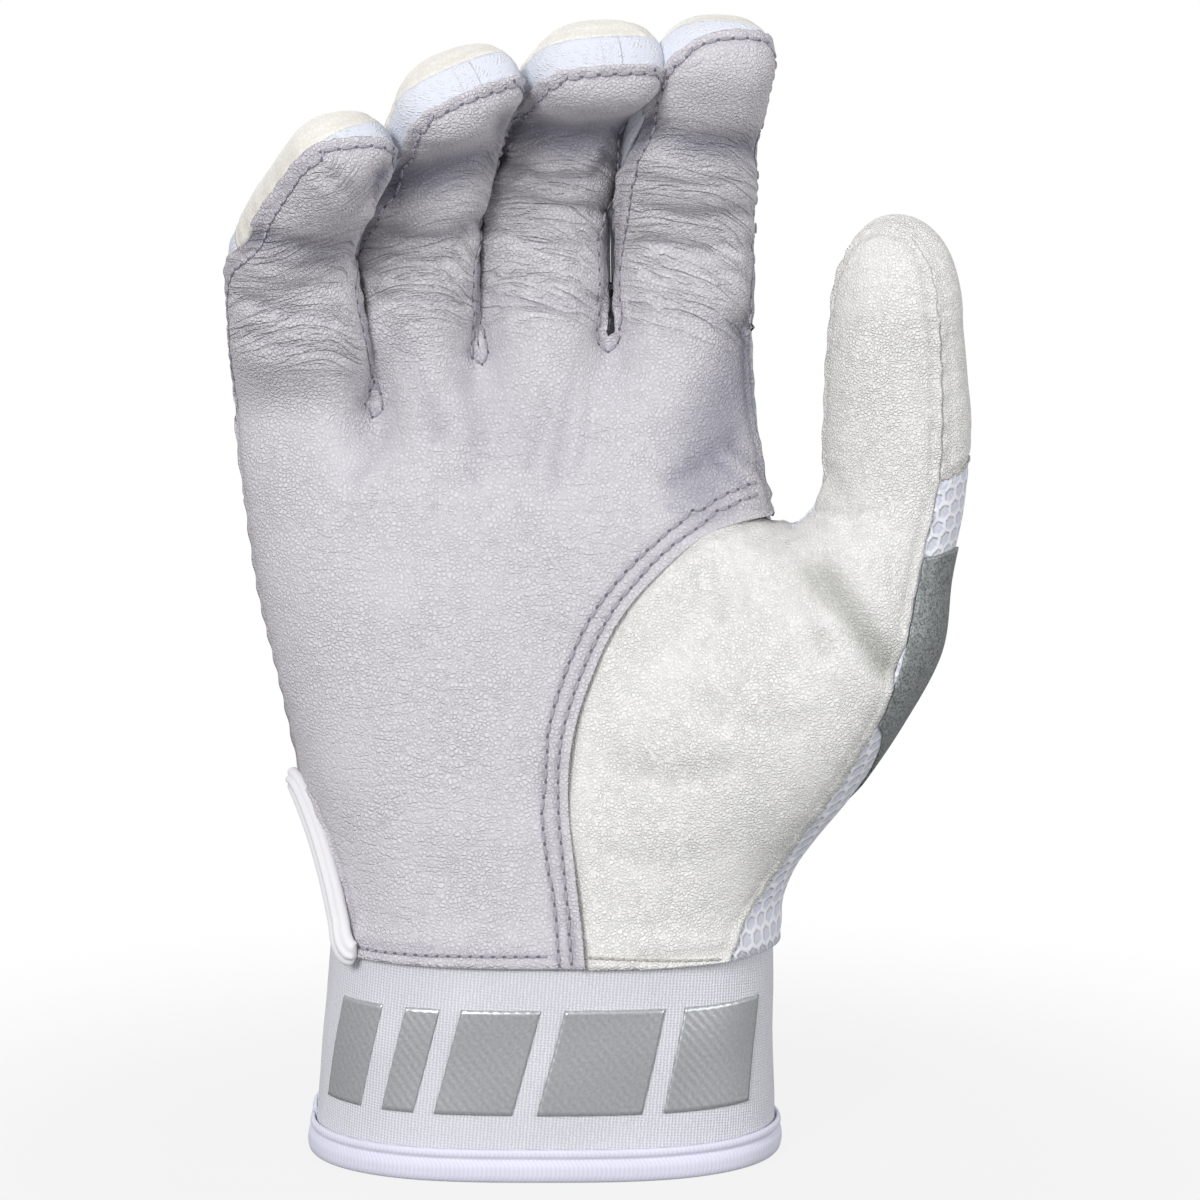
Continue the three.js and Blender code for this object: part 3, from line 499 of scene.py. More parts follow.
@dataclass
class CuffForm:
    """The cuff around the wrist, and the lifts of what lies on it."""

    form: HandForm
    width: float = 83.5
    shift: float = 1.5
    band_thickness: float = 1.8
    binding_height: float = 6.0
    binding_thickness: float = 0.9
    strap_thickness: float = 1.6
    strap_inset: float = 0.6
    strap_top_inset: float = 3.0
    patch_thickness: float = 0.9
    patch_inset: float = 3.0
    start_turn: float = 181.0
    end_turn: float = -150.0
    strap_end_turn: float = -72.0
    strap_rise_turn: float = 30.0
    strap_gap_turn: float = 0.9

    def at(self, turn: Array, z: Array, lift: Array = 0.0) -> Array:
        """Points around the cuff at a turn from the outer side over the front, a height and a lift."""
        ring = self.form.hand_at(np.array(self.form.cuff_height))
        level = limit(z / self.form.cuff_height)
        angle = np.radians(turn)
        across = np.cos(angle)
        half = mix(self.width / 2, ring.half, level) + lift
        depth = mix(self.form.wrist_depth / 2, ring.depth, level) + lift
        x = mix(ring.middle - self.shift, ring.middle, level) + half * across
        y = -np.sign(np.sin(angle)) * depth * np.sqrt(1 - np.abs(across) ** self.form.palm_power)
        return stack(x, y, z)

    def sheet(self, start: float, end: float, bottom: float, top: float, lift: Level) -> Surface:
        """A sheet around the cuff between two turns and two heights."""
        return lambda u, v: self.at(mix(start, end, u), mix(bottom, top, v), lift(mix(start, end, u)))

    def channel(self, start: float, end: float, bottom: float, inner: float, lift: Level) -> Surface:
        """The folded tape that holds the lower edge of a band, with the groove of its row of stitches.

        Args:
            start: Turn where it starts.
            end: Turn where it ends.
            bottom: Height of its fold.
            inner: Thickness of the band it holds.
            lift: How far the band stands off the cuff at each turn.

        Returns:
            Its outer surface, from the inner lip under the fold to the outer lip.
        """
        wall = self.binding_thickness + self.form.seam_gap
        height = self.binding_height
        outline = SmoothCurve((
            (-inner - wall, height), (-inner - wall, height * 0.72), (-inner - wall, height * 0.45),
            (-inner - wall, wall), (-inner - wall * 0.45, wall * 0.2), (-inner * 0.5, 0), (wall * 0.45, wall * 0.2),
            (wall * 0.85, wall), (wall * 0.95, height * 0.4), (wall * 0.85, height * 0.58), (wall * 0.4, height * 0.7),
            (wall * 0.8, height * 0.82), (wall * 0.7, height * 0.96), (wall * 0.25, height)))

        def surface(u: Array, v: Array) -> Array:
            """Points at shares around and across the tape."""
            turn = mix(start, end, u)
            place = outline.at(v)
            return self.at(turn, bottom + place[..., 1], lift(turn) + place[..., 0])

        return surface

    def strap_lift(self) -> float:
        """How far the closed strap's outer face stands off the band."""
        return 3 * self.form.seam_gap + 2 * self.patch_thickness + self.strap_thickness

    def strap_lift_at(self, turn: Array) -> Array:
        """Lift of the strap at a turn, rising from the end of the band."""
        return self.strap_lift() * ease((turn - self.start_turn - self.strap_gap_turn) / self.strap_rise_turn)


@dataclass(frozen=True)
class ViewPlane:
    """The photograph's view, which places folds where they are seen."""

    target: tuple[float, float, float] = (9.2, 0.0, 99.2)
    camera: tuple[float, float, float] = (9.2, -615.4, 174.8)
    focal: float = 3493.0
    middle: float = 600.0
    pitch: float = 0.1775

    def picture(self, points: Array) -> Array:
        """Places in millimetres across and up the view for points of the hand's frame."""
        eye = np.array(self.camera)
        ahead = unit(np.array(self.target) - eye)
        right = unit(np.cross(ahead, (0, 0, 1)))
        up = np.cross(right, ahead)
        offset = points - eye
        scale = self.focal * self.pitch / (offset @ ahead)
        return np.stack((scale * (offset @ right), scale * (offset @ up)), -1)


@dataclass(frozen=True)
class Fold:
    """A fold in leather or cloth as it is seen from the front.

    Args:
        path: Places in a 1200 by 1200 view through which it runs.
        depth: How deep it sinks, in millimetres; a ridge is negative.
        width: Half of its width, in millimetres.
        creased: How strongly the leather around it is drawn into fine creases across the finger.
        raised: Share of its depth by which the leather stands up beside it.
        raised_spread: How much further that reaches, as the square of a share of its width.
    """

    path: tuple[tuple[float, float], ...]
    depth: float
    width: float
    creased: float = 0.0
    raised: float = 0.35
    raised_spread: float = 5.0

    def reach(self, places: Array, plane: ViewPlane) -> Array:
        """How far places of the view lie from the fold."""
        line = (np.array(self.path, float) - plane.middle) * plane.pitch * (1, -1)
        nearest = np.full(len(places), np.inf)
        for start, end in zip(line[:-1], line[1:]):
            step = end - start
            share = limit(((places - start) @ step) / (step @ step))
            nearest = np.minimum(nearest, np.linalg.norm(places - start - share[:, None] * step, axis=1))
        return nearest

    def sink(self, reach: Array) -> Array:
        """How far the leather sinks at a distance from the fold."""
        level = (reach / self.width) ** 2
        return self.depth * (np.exp(-level) - self.raised * np.exp(-level / self.raised_spread))


def linear(code: str) -> tuple[float, float, float, float]:
    """Linear colour with full cover from an sRGB hex value."""
    parts = [int(code[place:place + 2], 16) / 255 for place in (1, 3, 5)]
    return (*[part / 12.92 if part <= 0.04045 else ((part + 0.055) / 1.055) ** 2.4 for part in parts], 1.0)


class Board:
    """The nodes of one material or of the world."""

    def __init__(self, name: str, kept: str = "materials") -> None:
        """Starts an empty node tree of that name among the materials or the worlds."""
        self.owner = getattr(bpy.data, kept).new(name)
        self.owner.use_nodes = True
        self.tree = self.owner.node_tree
        self.tree.nodes.clear()

    def put(self, kind: str, links: Optional[dict[Any, Any]] = None, **settings: Any) -> bpy.types.Node:
        """Adds a node.

        Args:
            kind: Its kind, as the end of Blender's own name for it.
            links: What goes into its sockets: a node, an output or a value.
            settings: Its settings.

        Returns:
            The node.
        """
        node = self.tree.nodes.new(f"ShaderNode{kind}")
        for name, value in settings.items():
            setattr(node, name, value)
        for key, value in (links or {}).items():
            source = value.outputs[0] if isinstance(value, bpy.types.Node) else value
            if isinstance(source, bpy.types.NodeSocket):
                self.tree.links.new(source, node.inputs[key])
            else:
                node.inputs[key].default_value = source
        return node

    def maths(self, operation: str, *values: Any) -> bpy.types.Node:
        """A sum of numbers."""
        return self.put("Math", dict(enumerate(values)), operation=operation)

    def vectors(self, operation: str, *values: Any) -> bpy.types.Node:
        """A sum of vectors."""
        return self.put("VectorMath", dict(enumerate(values)), operation=operation)

    def ramp(self, value: Any, low: float, high: float, start: float, end: float,
             smooth: bool = False) -> bpy.types.Node:
        """Turns low to high into start to end, smoothly or evenly."""
        return self.put("MapRange", {0: value, 1: low, 2: high, 3: start, 4: end},
                        interpolation_type="SMOOTHSTEP" if smooth else "LINEAR")

    def noise(self, place: Any, scale: float, detail: float, **more: float) -> bpy.types.Node:
        """Soft noise at a place."""
        return self.put("TexNoise", {"Vector": place, "Scale": scale, "Detail": detail, **more})

    def wave(self, place: Any, scale: float, waver: float, direction: str = "X", **more: float) -> bpy.types.Node:
        """Even bands at a place."""
        return self.put("TexWave", {"Vector": place, "Scale": scale, "Distortion": waver, **more},
                        bands_direction=direction)

    def cells(self, place: Any, scale: float, feature: str = "F1", **more: float) -> bpy.types.Node:
        """Cells at a place."""
        return self.put("TexVoronoi", {"Vector": place, "Scale": scale, **more}, feature=feature)

    def place(self, kind: str) -> bpy.types.NodeSocket:
        """Places of the piece: Object in space or UV in its own flat map."""
        return self.put("TexCoord").outputs[kind]

    def layer(self, name: str) -> bpy.types.NodeSocket:
        """A value that the piece's mesh carries."""
        return self.put("Attribute", attribute_name=name).outputs["Fac"]

    def blend(self, share: Any, first: Any, second: Any) -> bpy.types.Node:
        """Colour between two colours."""
        return self.put("MixRGB", {0: share, 1: first, 2: second})

    def shaded(self, cover: Any, shade: Any) -> bpy.types.Node:
        """A colour darkened by a shade."""
        tone = self.put("CombineColor", {0: shade, 1: shade, 2: shade})
        return self.put("MixRGB", {0: 1.0, 1: cover, 2: tone}, blend_type="MULTIPLY")


@dataclass(frozen=True)
class Finish:
    """A material with its colour, a darker colour and its gloss; the darker colour is painted shade in the hollows of
    most finishes, wear on the foil and the dark end of the glitter's painted glints.
    """

    name: str
    colour: str
    # Darker colour: painted shade in hollows, folds and grooves, wear on the foil and the dark end of the glitter's
    # painted glints
    hollow: str
    roughness: float = 0.6
    metallic: float = 0.0
    sheen: float = 0.0
    relief: float = 0.1
    sheen_roughness: float = 0.5
    specular: float = 0.4

    def material(self) -> bpy.types.Material:
        """The material, made once."""
        known = bpy.data.materials.get(self.name)
        if known is not None:
            return known
        board = Board(self.name)
        cover, height = self.pattern(board)
        bump = board.put("Bump", {"Height": height, "Distance": self.relief * MM, "Strength": 1.0})
        shader = board.put("BsdfPrincipled", {
            "Base Color": cover, "Roughness": self.roughness, "Metallic": self.metallic, "Normal": bump,
            "Sheen Weight": self.sheen, "Sheen Roughness": self.sheen_roughness,
            "Specular IOR Level": self.specular})
        board.put("OutputMaterial", {"Surface": shader})
        return board.owner

    def pattern(self, board: Board) -> tuple[Any, Any]:
        """Colour and height of the surface as sockets or nodes."""
        raise NotImplementedError

    def toned(self, board: Board, share: Any) -> bpy.types.Node:
        """Colour between the darker colour and the surface's own, at the share that the pattern gives."""
        return board.blend(share, linear(self.hollow), linear(self.colour))


@dataclass(frozen=True)
class GrainedLeather(Finish):
    """Tanned sheepskin with a pressed grain: soft cells, fine pores and small wrinkles, with shade painted darker
    where it folds in, along its grain lines and in its fine creases.
    """

    grain: float = 1.1
    grain_height: float = 0.5
    wrinkle: float = 0.5
    crease_height: float = 0.85
    # Share of the colour left in grain lines and fine creases, which are painted as shade
    crease_painted_shade: float = 0.92
    pore: float = 0.5
    pore_height: float = 0.55
    patch: float = 14.0
    wrinkle_cell: float = 3.4
    wrinkle_zone: float = 22.0
    # Scale of the noise whose middle draws the fine creases, across and along the piece, to a millimetre
    drawn_scale: tuple[float, float, float] = (0.09, 0.42, 0.0)

    def pattern(self, board: Board) -> tuple[Any, Any]:
        """Cells of the grain over pores and stretched wrinkles, with shade painted into folds, grain lines and
        creases.
        """
        place, flat = board.place("Object"), board.place("UV")
        wander = board.noise(place, 1 / (4 * MM), 2.0)
        shifted = board.vectors("MULTIPLY_ADD", wander.outputs["Color"], (1.2 * MM,) * 3, place)
        cells = board.cells(shifted, 1 / (self.grain * MM), "DISTANCE_TO_EDGE")
        pebble = board.ramp(cells, 0.0, 0.26, 0.0, 1.0, True)
        patchy = board.noise(place, 1 / (self.patch * MM), 3.0)
        grain = board.maths("MULTIPLY", pebble, board.ramp(patchy, 0.3, 0.65, 0.5, 1.0))
        pores = board.noise(place, 1 / (self.pore * MM), 3.0, Roughness=0.6)
        stretched = board.vectors("MULTIPLY", shifted, (0.55, 0.55, 1.6))
        creases = board.cells(stretched, 1 / (self.wrinkle_cell * MM), "DISTANCE_TO_EDGE")
        mask = board.ramp(board.noise(place, 1 / (self.wrinkle_zone * MM), 1.0), 0.45, 0.62, 0.0, self.wrinkle)
        wrinkles = board.maths("MULTIPLY", board.ramp(creases, 0.0, 0.1, 0.0, 1.0, True), mask)
        with_pores = board.maths("MULTIPLY_ADD", pores, self.pore_height, wrinkles)
        pebbled = board.maths("MULTIPLY_ADD", grain, self.grain_height, with_pores)
        drawn = board.vectors("MULTIPLY", flat, self.drawn_scale)
        lines = board.noise(drawn, 1.0, 4.0, Distortion=0.7)
        apart = board.maths("ABSOLUTE", board.maths("SUBTRACT", lines, 0.5))
        creased = board.maths("MULTIPLY", board.ramp(apart, 0.0, 0.085, 1.0, 0.0, True), board.layer("wrinkle"))
        height = board.maths("MULTIPLY_ADD", creased, -self.crease_height, pebbled)
        # Painted shade: the colour turns to the darker hollow colour as far as the mesh's fold layer says the leather
        # sinks
        cover = board.blend(board.layer("fold"), linear(self.colour), linear(self.hollow))
        # Painted shade along the grain's cell edges and in the fine creases; the patchy cloud is the leather's own
        # uneven tone
        painted_grain_shade = board.ramp(pebble, 0.0, 1.0, self.crease_painted_shade, 1.0)
        painted_crease_line_shade = board.ramp(creased, 0.0, 1.0, 1.0, self.crease_painted_shade)
        clouded = board.maths("MULTIPLY", painted_grain_shade, board.ramp(patchy, 0.3, 0.7, 0.965, 1.02))
        return board.shaded(cover, board.maths("MULTIPLY", clouded, painted_crease_line_shade)), height


@dataclass(frozen=True)
class HexMesh(Finish):
    """Warp-knit mesh cloth: rounded strands around open hexagons, with shade painted into the openings and a fine knit
    on all of it.
    """

    cell: float = 3.9
    knit: float = 0.55
    knit_height: float = 0.16

    def pattern(self, board: Board) -> tuple[Any, Any]:
        """Hexagons in the piece's own flat map, whose unit is a millimetre."""
        place = board.place("UV")
        box = (1.0, math.sqrt(3), 1.0)
        half = tuple(side / 2 for side in box)
        scaled = board.vectors("MULTIPLY_ADD", place, (1 / self.cell,) * 3, (100.0, 100 * box[1], 0.0))
        centred = []
        for start in ((0.0, 0.0, 0.0), half):
            held = board.vectors("MODULO", board.vectors("SUBTRACT", scaled, start), box)
            flat = board.vectors("MULTIPLY", board.vectors("SUBTRACT", held, half), (1.0, 1.0, 0.0))
            centred.append((flat, board.vectors("DOT_PRODUCT", flat, flat).outputs["Value"]))
        first = board.maths("LESS_THAN", centred[0][1], centred[1][1])
        folded = board.vectors("ABSOLUTE", board.blend(first, centred[1][0], centred[0][0]))
        slant = board.vectors("DOT_PRODUCT", folded, (0.5, math.sqrt(3) / 2, 0.0))
        level = board.put("SeparateXYZ", {0: folded})
        reach = board.maths("MAXIMUM", slant.outputs["Value"], level.outputs[0])
        strand = board.ramp(reach, 0.27, 0.43, 0.0, 1.0, True)
        knit = board.wave(place, BAND_SCALE / self.knit, 1.2, "DIAGONAL", Detail=1.0)
        # Painted shade: the openings between the strands take the darker colour
        return self.toned(board, strand), board.maths("MULTIPLY_ADD", knit, self.knit_height, strand)


@dataclass(frozen=True)
class RibbedCloth(Finish):
    """Knitted or woven elastic cloth: fine ribs one way, crossed by the courses of its yarn."""

    rib: float = 0.9
    course: float = 0.6
    turn: float = 0.0
    waver: float = 0.4

    def pattern(self, board: Board) -> tuple[Any, Any]:
        """Ribs and courses in the piece's own flat map, whose unit is a millimetre, with shade painted into their
        valleys.
        """
        place = board.place("UV")
        turned = board.put("Mapping", {"Vector": place, "Rotation": (0.0, 0.0, math.radians(self.turn))})
        ribs = board.wave(turned, BAND_SCALE / self.rib, self.waver, **{"Detail": 2.0, "Detail Scale": 2.0})
        courses = board.wave(turned, BAND_SCALE / self.course, self.waver, "Y", Detail=1.0)
        crossed = board.maths("MULTIPLY_ADD", courses, 0.45, ribs)
        height = board.maths("MULTIPLY_ADD", board.noise(place, 2.4, 3.0), 0.5, crossed)
        # Painted shade in the valleys between ribs and courses; the cloud below is the cloth's own uneven tone
        cover = self.toned(board, board.ramp(crossed, 0.1, 1.1, 0.0, 1.0))
        cloud = board.ramp(board.noise(place, 0.07, 2.0), 0.35, 0.65, 0.95, 1.0)
        return board.shaded(cover, cloud), height


@dataclass(frozen=True)
class GlitterFilm(Finish):
    """Polyurethane film with metal flakes: every flake lies at its own angle and has its own grey, a painted glint."""

    flake: float = 0.42

    def pattern(self, board: Board) -> tuple[Any, Any]:
        """Flakes over the film, each with its own grey, a painted glint, and its own height."""
        place = board.place("Object")
        flakes = board.cells(place, 1 / (self.flake * MM))
        # Each flake's random grey is a painted glint
        grey = board.put("SeparateColor", {0: flakes.outputs["Color"]})
        return self.toned(board, board.ramp(grey.outputs[0], 0.12, 0.75, 0.0, 1.0)), grey.outputs[1]


@dataclass(frozen=True)
class FoilFilm(Finish):
    """Heat-pressed metal foil: smooth and bright, with the fine weave under it showing through."""

    weave: float = 0.9

    def pattern(self, board: Board) -> tuple[Any, Any]:
        """Faint weave and fine wear."""
        place = board.place("UV")
        weave = board.wave(place, BAND_SCALE / self.weave, 1.0, "DIAGONAL")
        cloud = board.noise(place, 1.7, 3.0)
        cover = self.toned(board, board.ramp(cloud, 0.35, 0.65, 0.0, 1.0))
        return cover, board.maths("MULTIPLY_ADD", cloud, 0.6, weave)


@dataclass(frozen=True)
class NapTape(Finish):
    """Hook or loop tape: rows of stiff hooks, or a nap of fine loops, both rough and without gloss."""

    pitch: float = 1.2

    def pattern(self, board: Board) -> tuple[Any, Any]:
        """Rounded tufts in the tape's own flat map, with shade painted between them."""
        place = board.place("UV")
        tufts = board.cells(place, 1 / self.pitch, Randomness=0.55)
        top = board.ramp(tufts, 0.1, 0.55, 1.0, 0.0, True)
        # Painted shade between the tufts
        return self.toned(board, top), board.maths("MULTIPLY_ADD", board.noise(place, 4.0, 2.0), 0.4, top)


@dataclass(frozen=True)
class TwistedYarn(Finish):
    """Sewing thread of bonded polyester: plies wound round each other, with slanted bands of shade painted between
    them.
    """

    ply: float = 0.45
    slant_scale: float = 0.6283

    def pattern(self, board: Board) -> tuple[Any, Any]:
        """Slanted plies in the object's own place, with shade painted between them."""
        place = board.place("Object")
        plies = board.wave(place, self.slant_scale / (self.ply * MM), 0.6, "DIAGONAL")
        return self.toned(board, plies), plies


class Finishes(Enum):
    """Every finish of the glove."""

    # The second colour of each finish is its darker colour: painted shade in hollows, folds and grooves, except on the
    # foil, where it is wear, and on the glitter, where it is the dark end of the flakes' painted glints
    # Dyed sheepskin of the palm: a cool lilac white with a visible grain that folds into soft wrinkles
    PALM = GrainedLeather("palm_sheepskin", "#dbd8de", "#9896a5", 0.56, relief=0.36, grain=0.72, wrinkle=0.25,
                          crease_height=0.95, crease_painted_shade=0.88)
    # Bleached goatskin of the thumb: warmer and whiter, with finer round pebbles
    THUMB = GrainedLeather("thumb_goatskin", "#f3f2ef", "#b6b6b0", 0.53, relief=0.32, grain=0.6, grain_height=0.6,
                           wrinkle=0.15, crease_painted_shade=0.94)
    # Back leather of fingers and thumb: cream white and nearly smooth
    BACK = GrainedLeather("back_sheepskin", "#ece9e2", "#cfccc2", 0.52, relief=0.08, grain=0.9, grain_height=0.35,
                          wrinkle=0.3)
    # Polyester mesh of the back: white strands, with cool grey shade painted into the openings
    MESH = HexMesh("polyester_mesh", "#f0f2f8", "#d6dae6", 0.85, relief=0.27, sheen=0.1, cell=3.1)
    # Stretch knit over the knuckles: cool white with fine ribs that let it stretch
    KNIT = RibbedCloth("stretch_knit", "#e6e7f0", "#c9cddd", 0.9, relief=0.15, rib=1.0, course=0.7, sheen=0.1)
    # Brushed stretch ribbon between the fingers: bluish white tufts without gloss
    RIBBON = NapTape("brushed_ribbon", "#eff0f4", "#dadee9", 0.95, relief=0.16, pitch=0.75, sheen=0.15)
    # Woven elastic of the cuff and its strap: fine upright ribs with a soft dry surface
    ELASTIC = RibbedCloth("woven_elastic", "#e7e7ed", "#cbccd5", 0.86, relief=0.09, rib=0.62, course=0.5, turn=5.0,
                          sheen=0.1, waver=2.2)
    # Binding tape on the cuff's edge: bluish white with ribs across its fold
    BINDING = RibbedCloth("binding_tape", "#e3e3f1", "#d8d8ea", 0.8, relief=0.03, rib=0.8, course=1.6, sheen=0.1)
    # Rolled tape of the vent: the same weave drawn tight
    ROLLED = RibbedCloth("rolled_tape", "#dfdee9", "#cfcedb", 0.82, relief=0.03, rib=0.8, course=1.2, sheen=0.1)
    # Silver overlay: grey film full of metal flakes, whose sparkle against darker ones is painted as glints in their
    # greys
    GLITTER = GlitterFilm("silver_glitter_film", "#a1a6a6", "#6d7272", 0.42, metallic=0.3, relief=0.06, flake=0.3)
    # Foil on the band: pressed silver, bright and a little worn
    FOIL = FoilFilm("silver_foil", "#cbced0", "#bbbec0", 0.32, metallic=0.55, relief=0.03)
    # Nylon hook tape: stiff hooks in rows
    HOOKS = NapTape("hook_tape", "#c9cad0", "#8f9098", 0.6, relief=0.4, pitch=1.3)
    # Nylon loop tape: a low fuzzy nap
    LOOPS = NapTape("loop_tape", "#dfe0e5", "#b2b3bb", 0.95, relief=0.3, pitch=0.8, sheen=0.4)
    # Moulded rubber of the pull tab: grey, low gloss, pebbled
    RUBBER = GrainedLeather("moulded_rubber", "#b6b7b9", "#8e9092", 0.5, relief=0.1, grain=1.0, wrinkle=0.0)
    # Thread of the seams: nearly the leather's own colour
    THREAD = TwistedYarn("polyester_thread", "#c9c6d0", "#a09da9", 0.6, relief=0.1)
    # Needle holes: dark dots of painted shade laid on the leather between the stitches
    HOLE = TwistedYarn("painted_hole_shade", "#7d7a85", "#686570", 0.9, relief=0.02)
    # Thread of the white leather, and the painted shade of its needle holes: nearly its own colour
    PALE_THREAD = TwistedYarn("white_thread", "#dddcd7", "#bebdb6", 0.6, relief=0.1)
    PALE_HOLE = TwistedYarn("white_painted_hole_shade", "#b3b1aa", "#9d9b94", 0.9, relief=0.02)


@dataclass
class Sheet:
    """An open sheet of a panel.

    Args:
        surface: Its points from shares across and along it.
        columns: Its cells across.
        rows: Its cells along.
        seams: Its edges that are sewn or hemmed.
        follows: The first column of the panel's first sheet that it carries on from, if it does.
    """

    surface: Surface
    columns: int
    rows: int
    seams: frozenset[Seam] = frozenset()
    follows: Optional[int] = None


@dataclass
class Panel:
    """A cut piece of leather or cloth, sewn to shape: its sheets joined, relieved and given their thickness."""

    name: str
    nodes: tuple[str, ...]
    slot: str
    finish: Finishes
    sheets: list[Sheet]
    thickness: float
    body: Body = Body.GLOVE
    relief: Optional[Callable[["PanelState"], Array]] = None
    softened: Optional[tuple[tuple[float, float, float], float, int]] = None
    weld: float = 0.02

    def make(self) -> "Panel":
        """Builds the panel's mesh and object."""
        mesh = bmesh.new()
        flat = mesh.loops.layers.uv.new("flat")
        # The fold layer carries shade painted into the leather's colour at its folds, tucks and stitch rows
        edge_layer, length_layer, painted_shade_layer, wrinkle_layer = (
            mesh.verts.layers.float.new(name) for name in ("edge", "length", "fold", "wrinkle"))
        first: Optional[Array] = None
        for sheet in self.sheets:
            verts = bmesh.ops.create_grid(mesh, x_segments=sheet.columns, y_segments=sheet.rows, size=0.5)["verts"]
            places = np.array([vert.co for vert in verts])
            low, high = places.min(0), places.max(0)
            column = np.rint((places[:, 0] - low[0]) / (high[0] - low[0]) * sheet.columns).astype(int)
            row = np.rint((places[:, 1] - low[1]) / (high[1] - low[1]) * sheet.rows).astype(int)
            points = sheet.surface(column / sheet.columns, row / sheet.rows)
            grid = np.zeros((sheet.rows + 1, sheet.columns + 1, 3))
            grid[row, column] = points
            across, along, edge = self.measure(sheet, grid, first)
            if first is None:
                first = np.stack((across[-1], along[-1]), -1)
            numbers = {vert: index for index, vert in enumerate(verts)}
            for index, vert in enumerate(verts):
                vert.co = points[index]
                vert[edge_layer] = edge[row[index], column[index]]
                vert[length_layer] = along[row[index], column[index]]
            for face in {face for vert in verts for face in vert.link_faces}:
                for loop in face.loops:
                    index = numbers[loop.vert]
                    loop[flat].uv = (across[row[index], column[index]], along[row[index], column[index]])
        bmesh.ops.remove_doubles(mesh, verts=mesh.verts, dist=self.weld)
        bmesh.ops.dissolve_degenerate(mesh, edges=mesh.edges, dist=self.weld / 2)
        if self.softened is not None:
            centre, reach, times = self.softened
            near = [vert for vert in mesh.verts if (vert.co - Vector(centre)).length < reach]
            for _ in range(times):
                bmesh.ops.smooth_vert(mesh, verts=near, factor=0.5, use_axis_x=True, use_axis_y=True, use_axis_z=True)
        mesh.normal_update()
        mesh.verts.ensure_lookup_table()
        if self.relief is not None:
            state = PanelState(*map(np.array, zip(*(
                (vert.co, vert.normal, vert[edge_layer], vert[length_layer]) for vert in mesh.verts))))
            points = self.relief(state)
            # Each point takes its relieved place, its painted fold shade and its wrinkle
            for vert, point, sunk, creased in zip(mesh.verts, points, state.fold, state.wrinkle):
                vert.co = point
                vert[painted_shade_layer] = sunk
                vert[wrinkle_layer] = creased
            mesh.normal_update()
        self.skin = BVHTree.FromBMesh(mesh)
        self.object = finish_piece(mesh, self.name, self.finish, self.nodes, self.slot, self.body)
        wall = self.object.modifiers.new("thickness", "SOLIDIFY")
        wall.thickness = self.thickness * MM
        wall.offset = -1
        return self

    def measure(self, sheet: Sheet, grid: Array, first: Optional[Array]) -> tuple[Array, Array, Array]:
        """Flat map of a sheet and how far its points lie from its seams.

        Args:
            sheet: The sheet.
            grid: Its points by row and column.
            first: The flat map of the first sheet's last row, if there is one.

        Returns:
            Millimetres across, millimetres along and millimetres from the nearest seam, by row and column.
        """
        steps = np.linalg.norm(np.diff(grid, axis=1), axis=2)
        run = np.concatenate([np.zeros((len(grid), 1)), np.cumsum(steps, axis=1)], axis=1)
        rises = np.linalg.norm(np.diff(grid, axis=0), axis=2)
        rise = np.concatenate([np.zeros((1, grid.shape[1])), np.cumsum(rises, axis=0)], axis=0)
        middle = sheet.columns // 2
        across, along = run - run[:, middle:middle + 1], rise.copy()
        if sheet.follows is not None and first is not None:
            carried = first[sheet.follows:sheet.follows + sheet.columns + 1]
            across += carried[middle, 0]
            along += carried[:, 1]
        edge = np.full(grid.shape[:2], FAR)
        reaches = {Seam.LEFT: run, Seam.RIGHT: run[:, -1:] - run, Seam.BOTTOM: rise, Seam.TOP: rise[-1:] - rise}
        for seam in sheet.seams:
            edge = np.minimum(edge, reaches[seam])
        return across, along, edge


@dataclass
class PanelState:
    """A panel's joined points with what its relief needs, and the shade that the relief paints into its folds, tucks
    and stitch rows, and the wrinkles that it writes.
    """

    points: Array
    normals: Array
    edge: Array
    length: Array

    def __post_init__(self) -> None:
        """Starts without any painted fold shade or wrinkle."""
        self.fold = np.zeros(len(self.points))
        self.wrinkle = np.zeros(len(self.points))


def finish_piece(mesh: bmesh.types.BMesh, name: str, finish: Finishes, nodes: Sequence[str], slot: str,
                 body: Body) -> bpy.types.Object:
    """Turns a mesh in the hand's millimetres into a finished piece of the glove.

    Args:
        mesh: The mesh, which is used up.
        name: The piece's name.
        finish: Its finish.
        nodes: The solids that it stands for.
        slot: A material slot; not used.
        body: The body that it rides on.

    Returns:
        The piece's object.
    """
    bmesh.ops.translate(mesh, verts=mesh.verts, vec=Vector(HAND_TO_FRAME))
    bmesh.ops.scale(mesh, verts=mesh.verts, vec=Vector((MM, MM, MM)))
    data = bpy.data.meshes.new(name)
    mesh.to_mesh(data)
    mesh.free()
    data.shade_smooth()
    data.materials.append(finish.value.material())
    piece = bpy.data.objects.new(name, data)
    bpy.context.collection.objects.link(piece)
    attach(piece, body.value)
    if nodes:
        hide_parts(*nodes)
    LOG.info("%s: %d faces", name, len(data.polygons))
    return piece


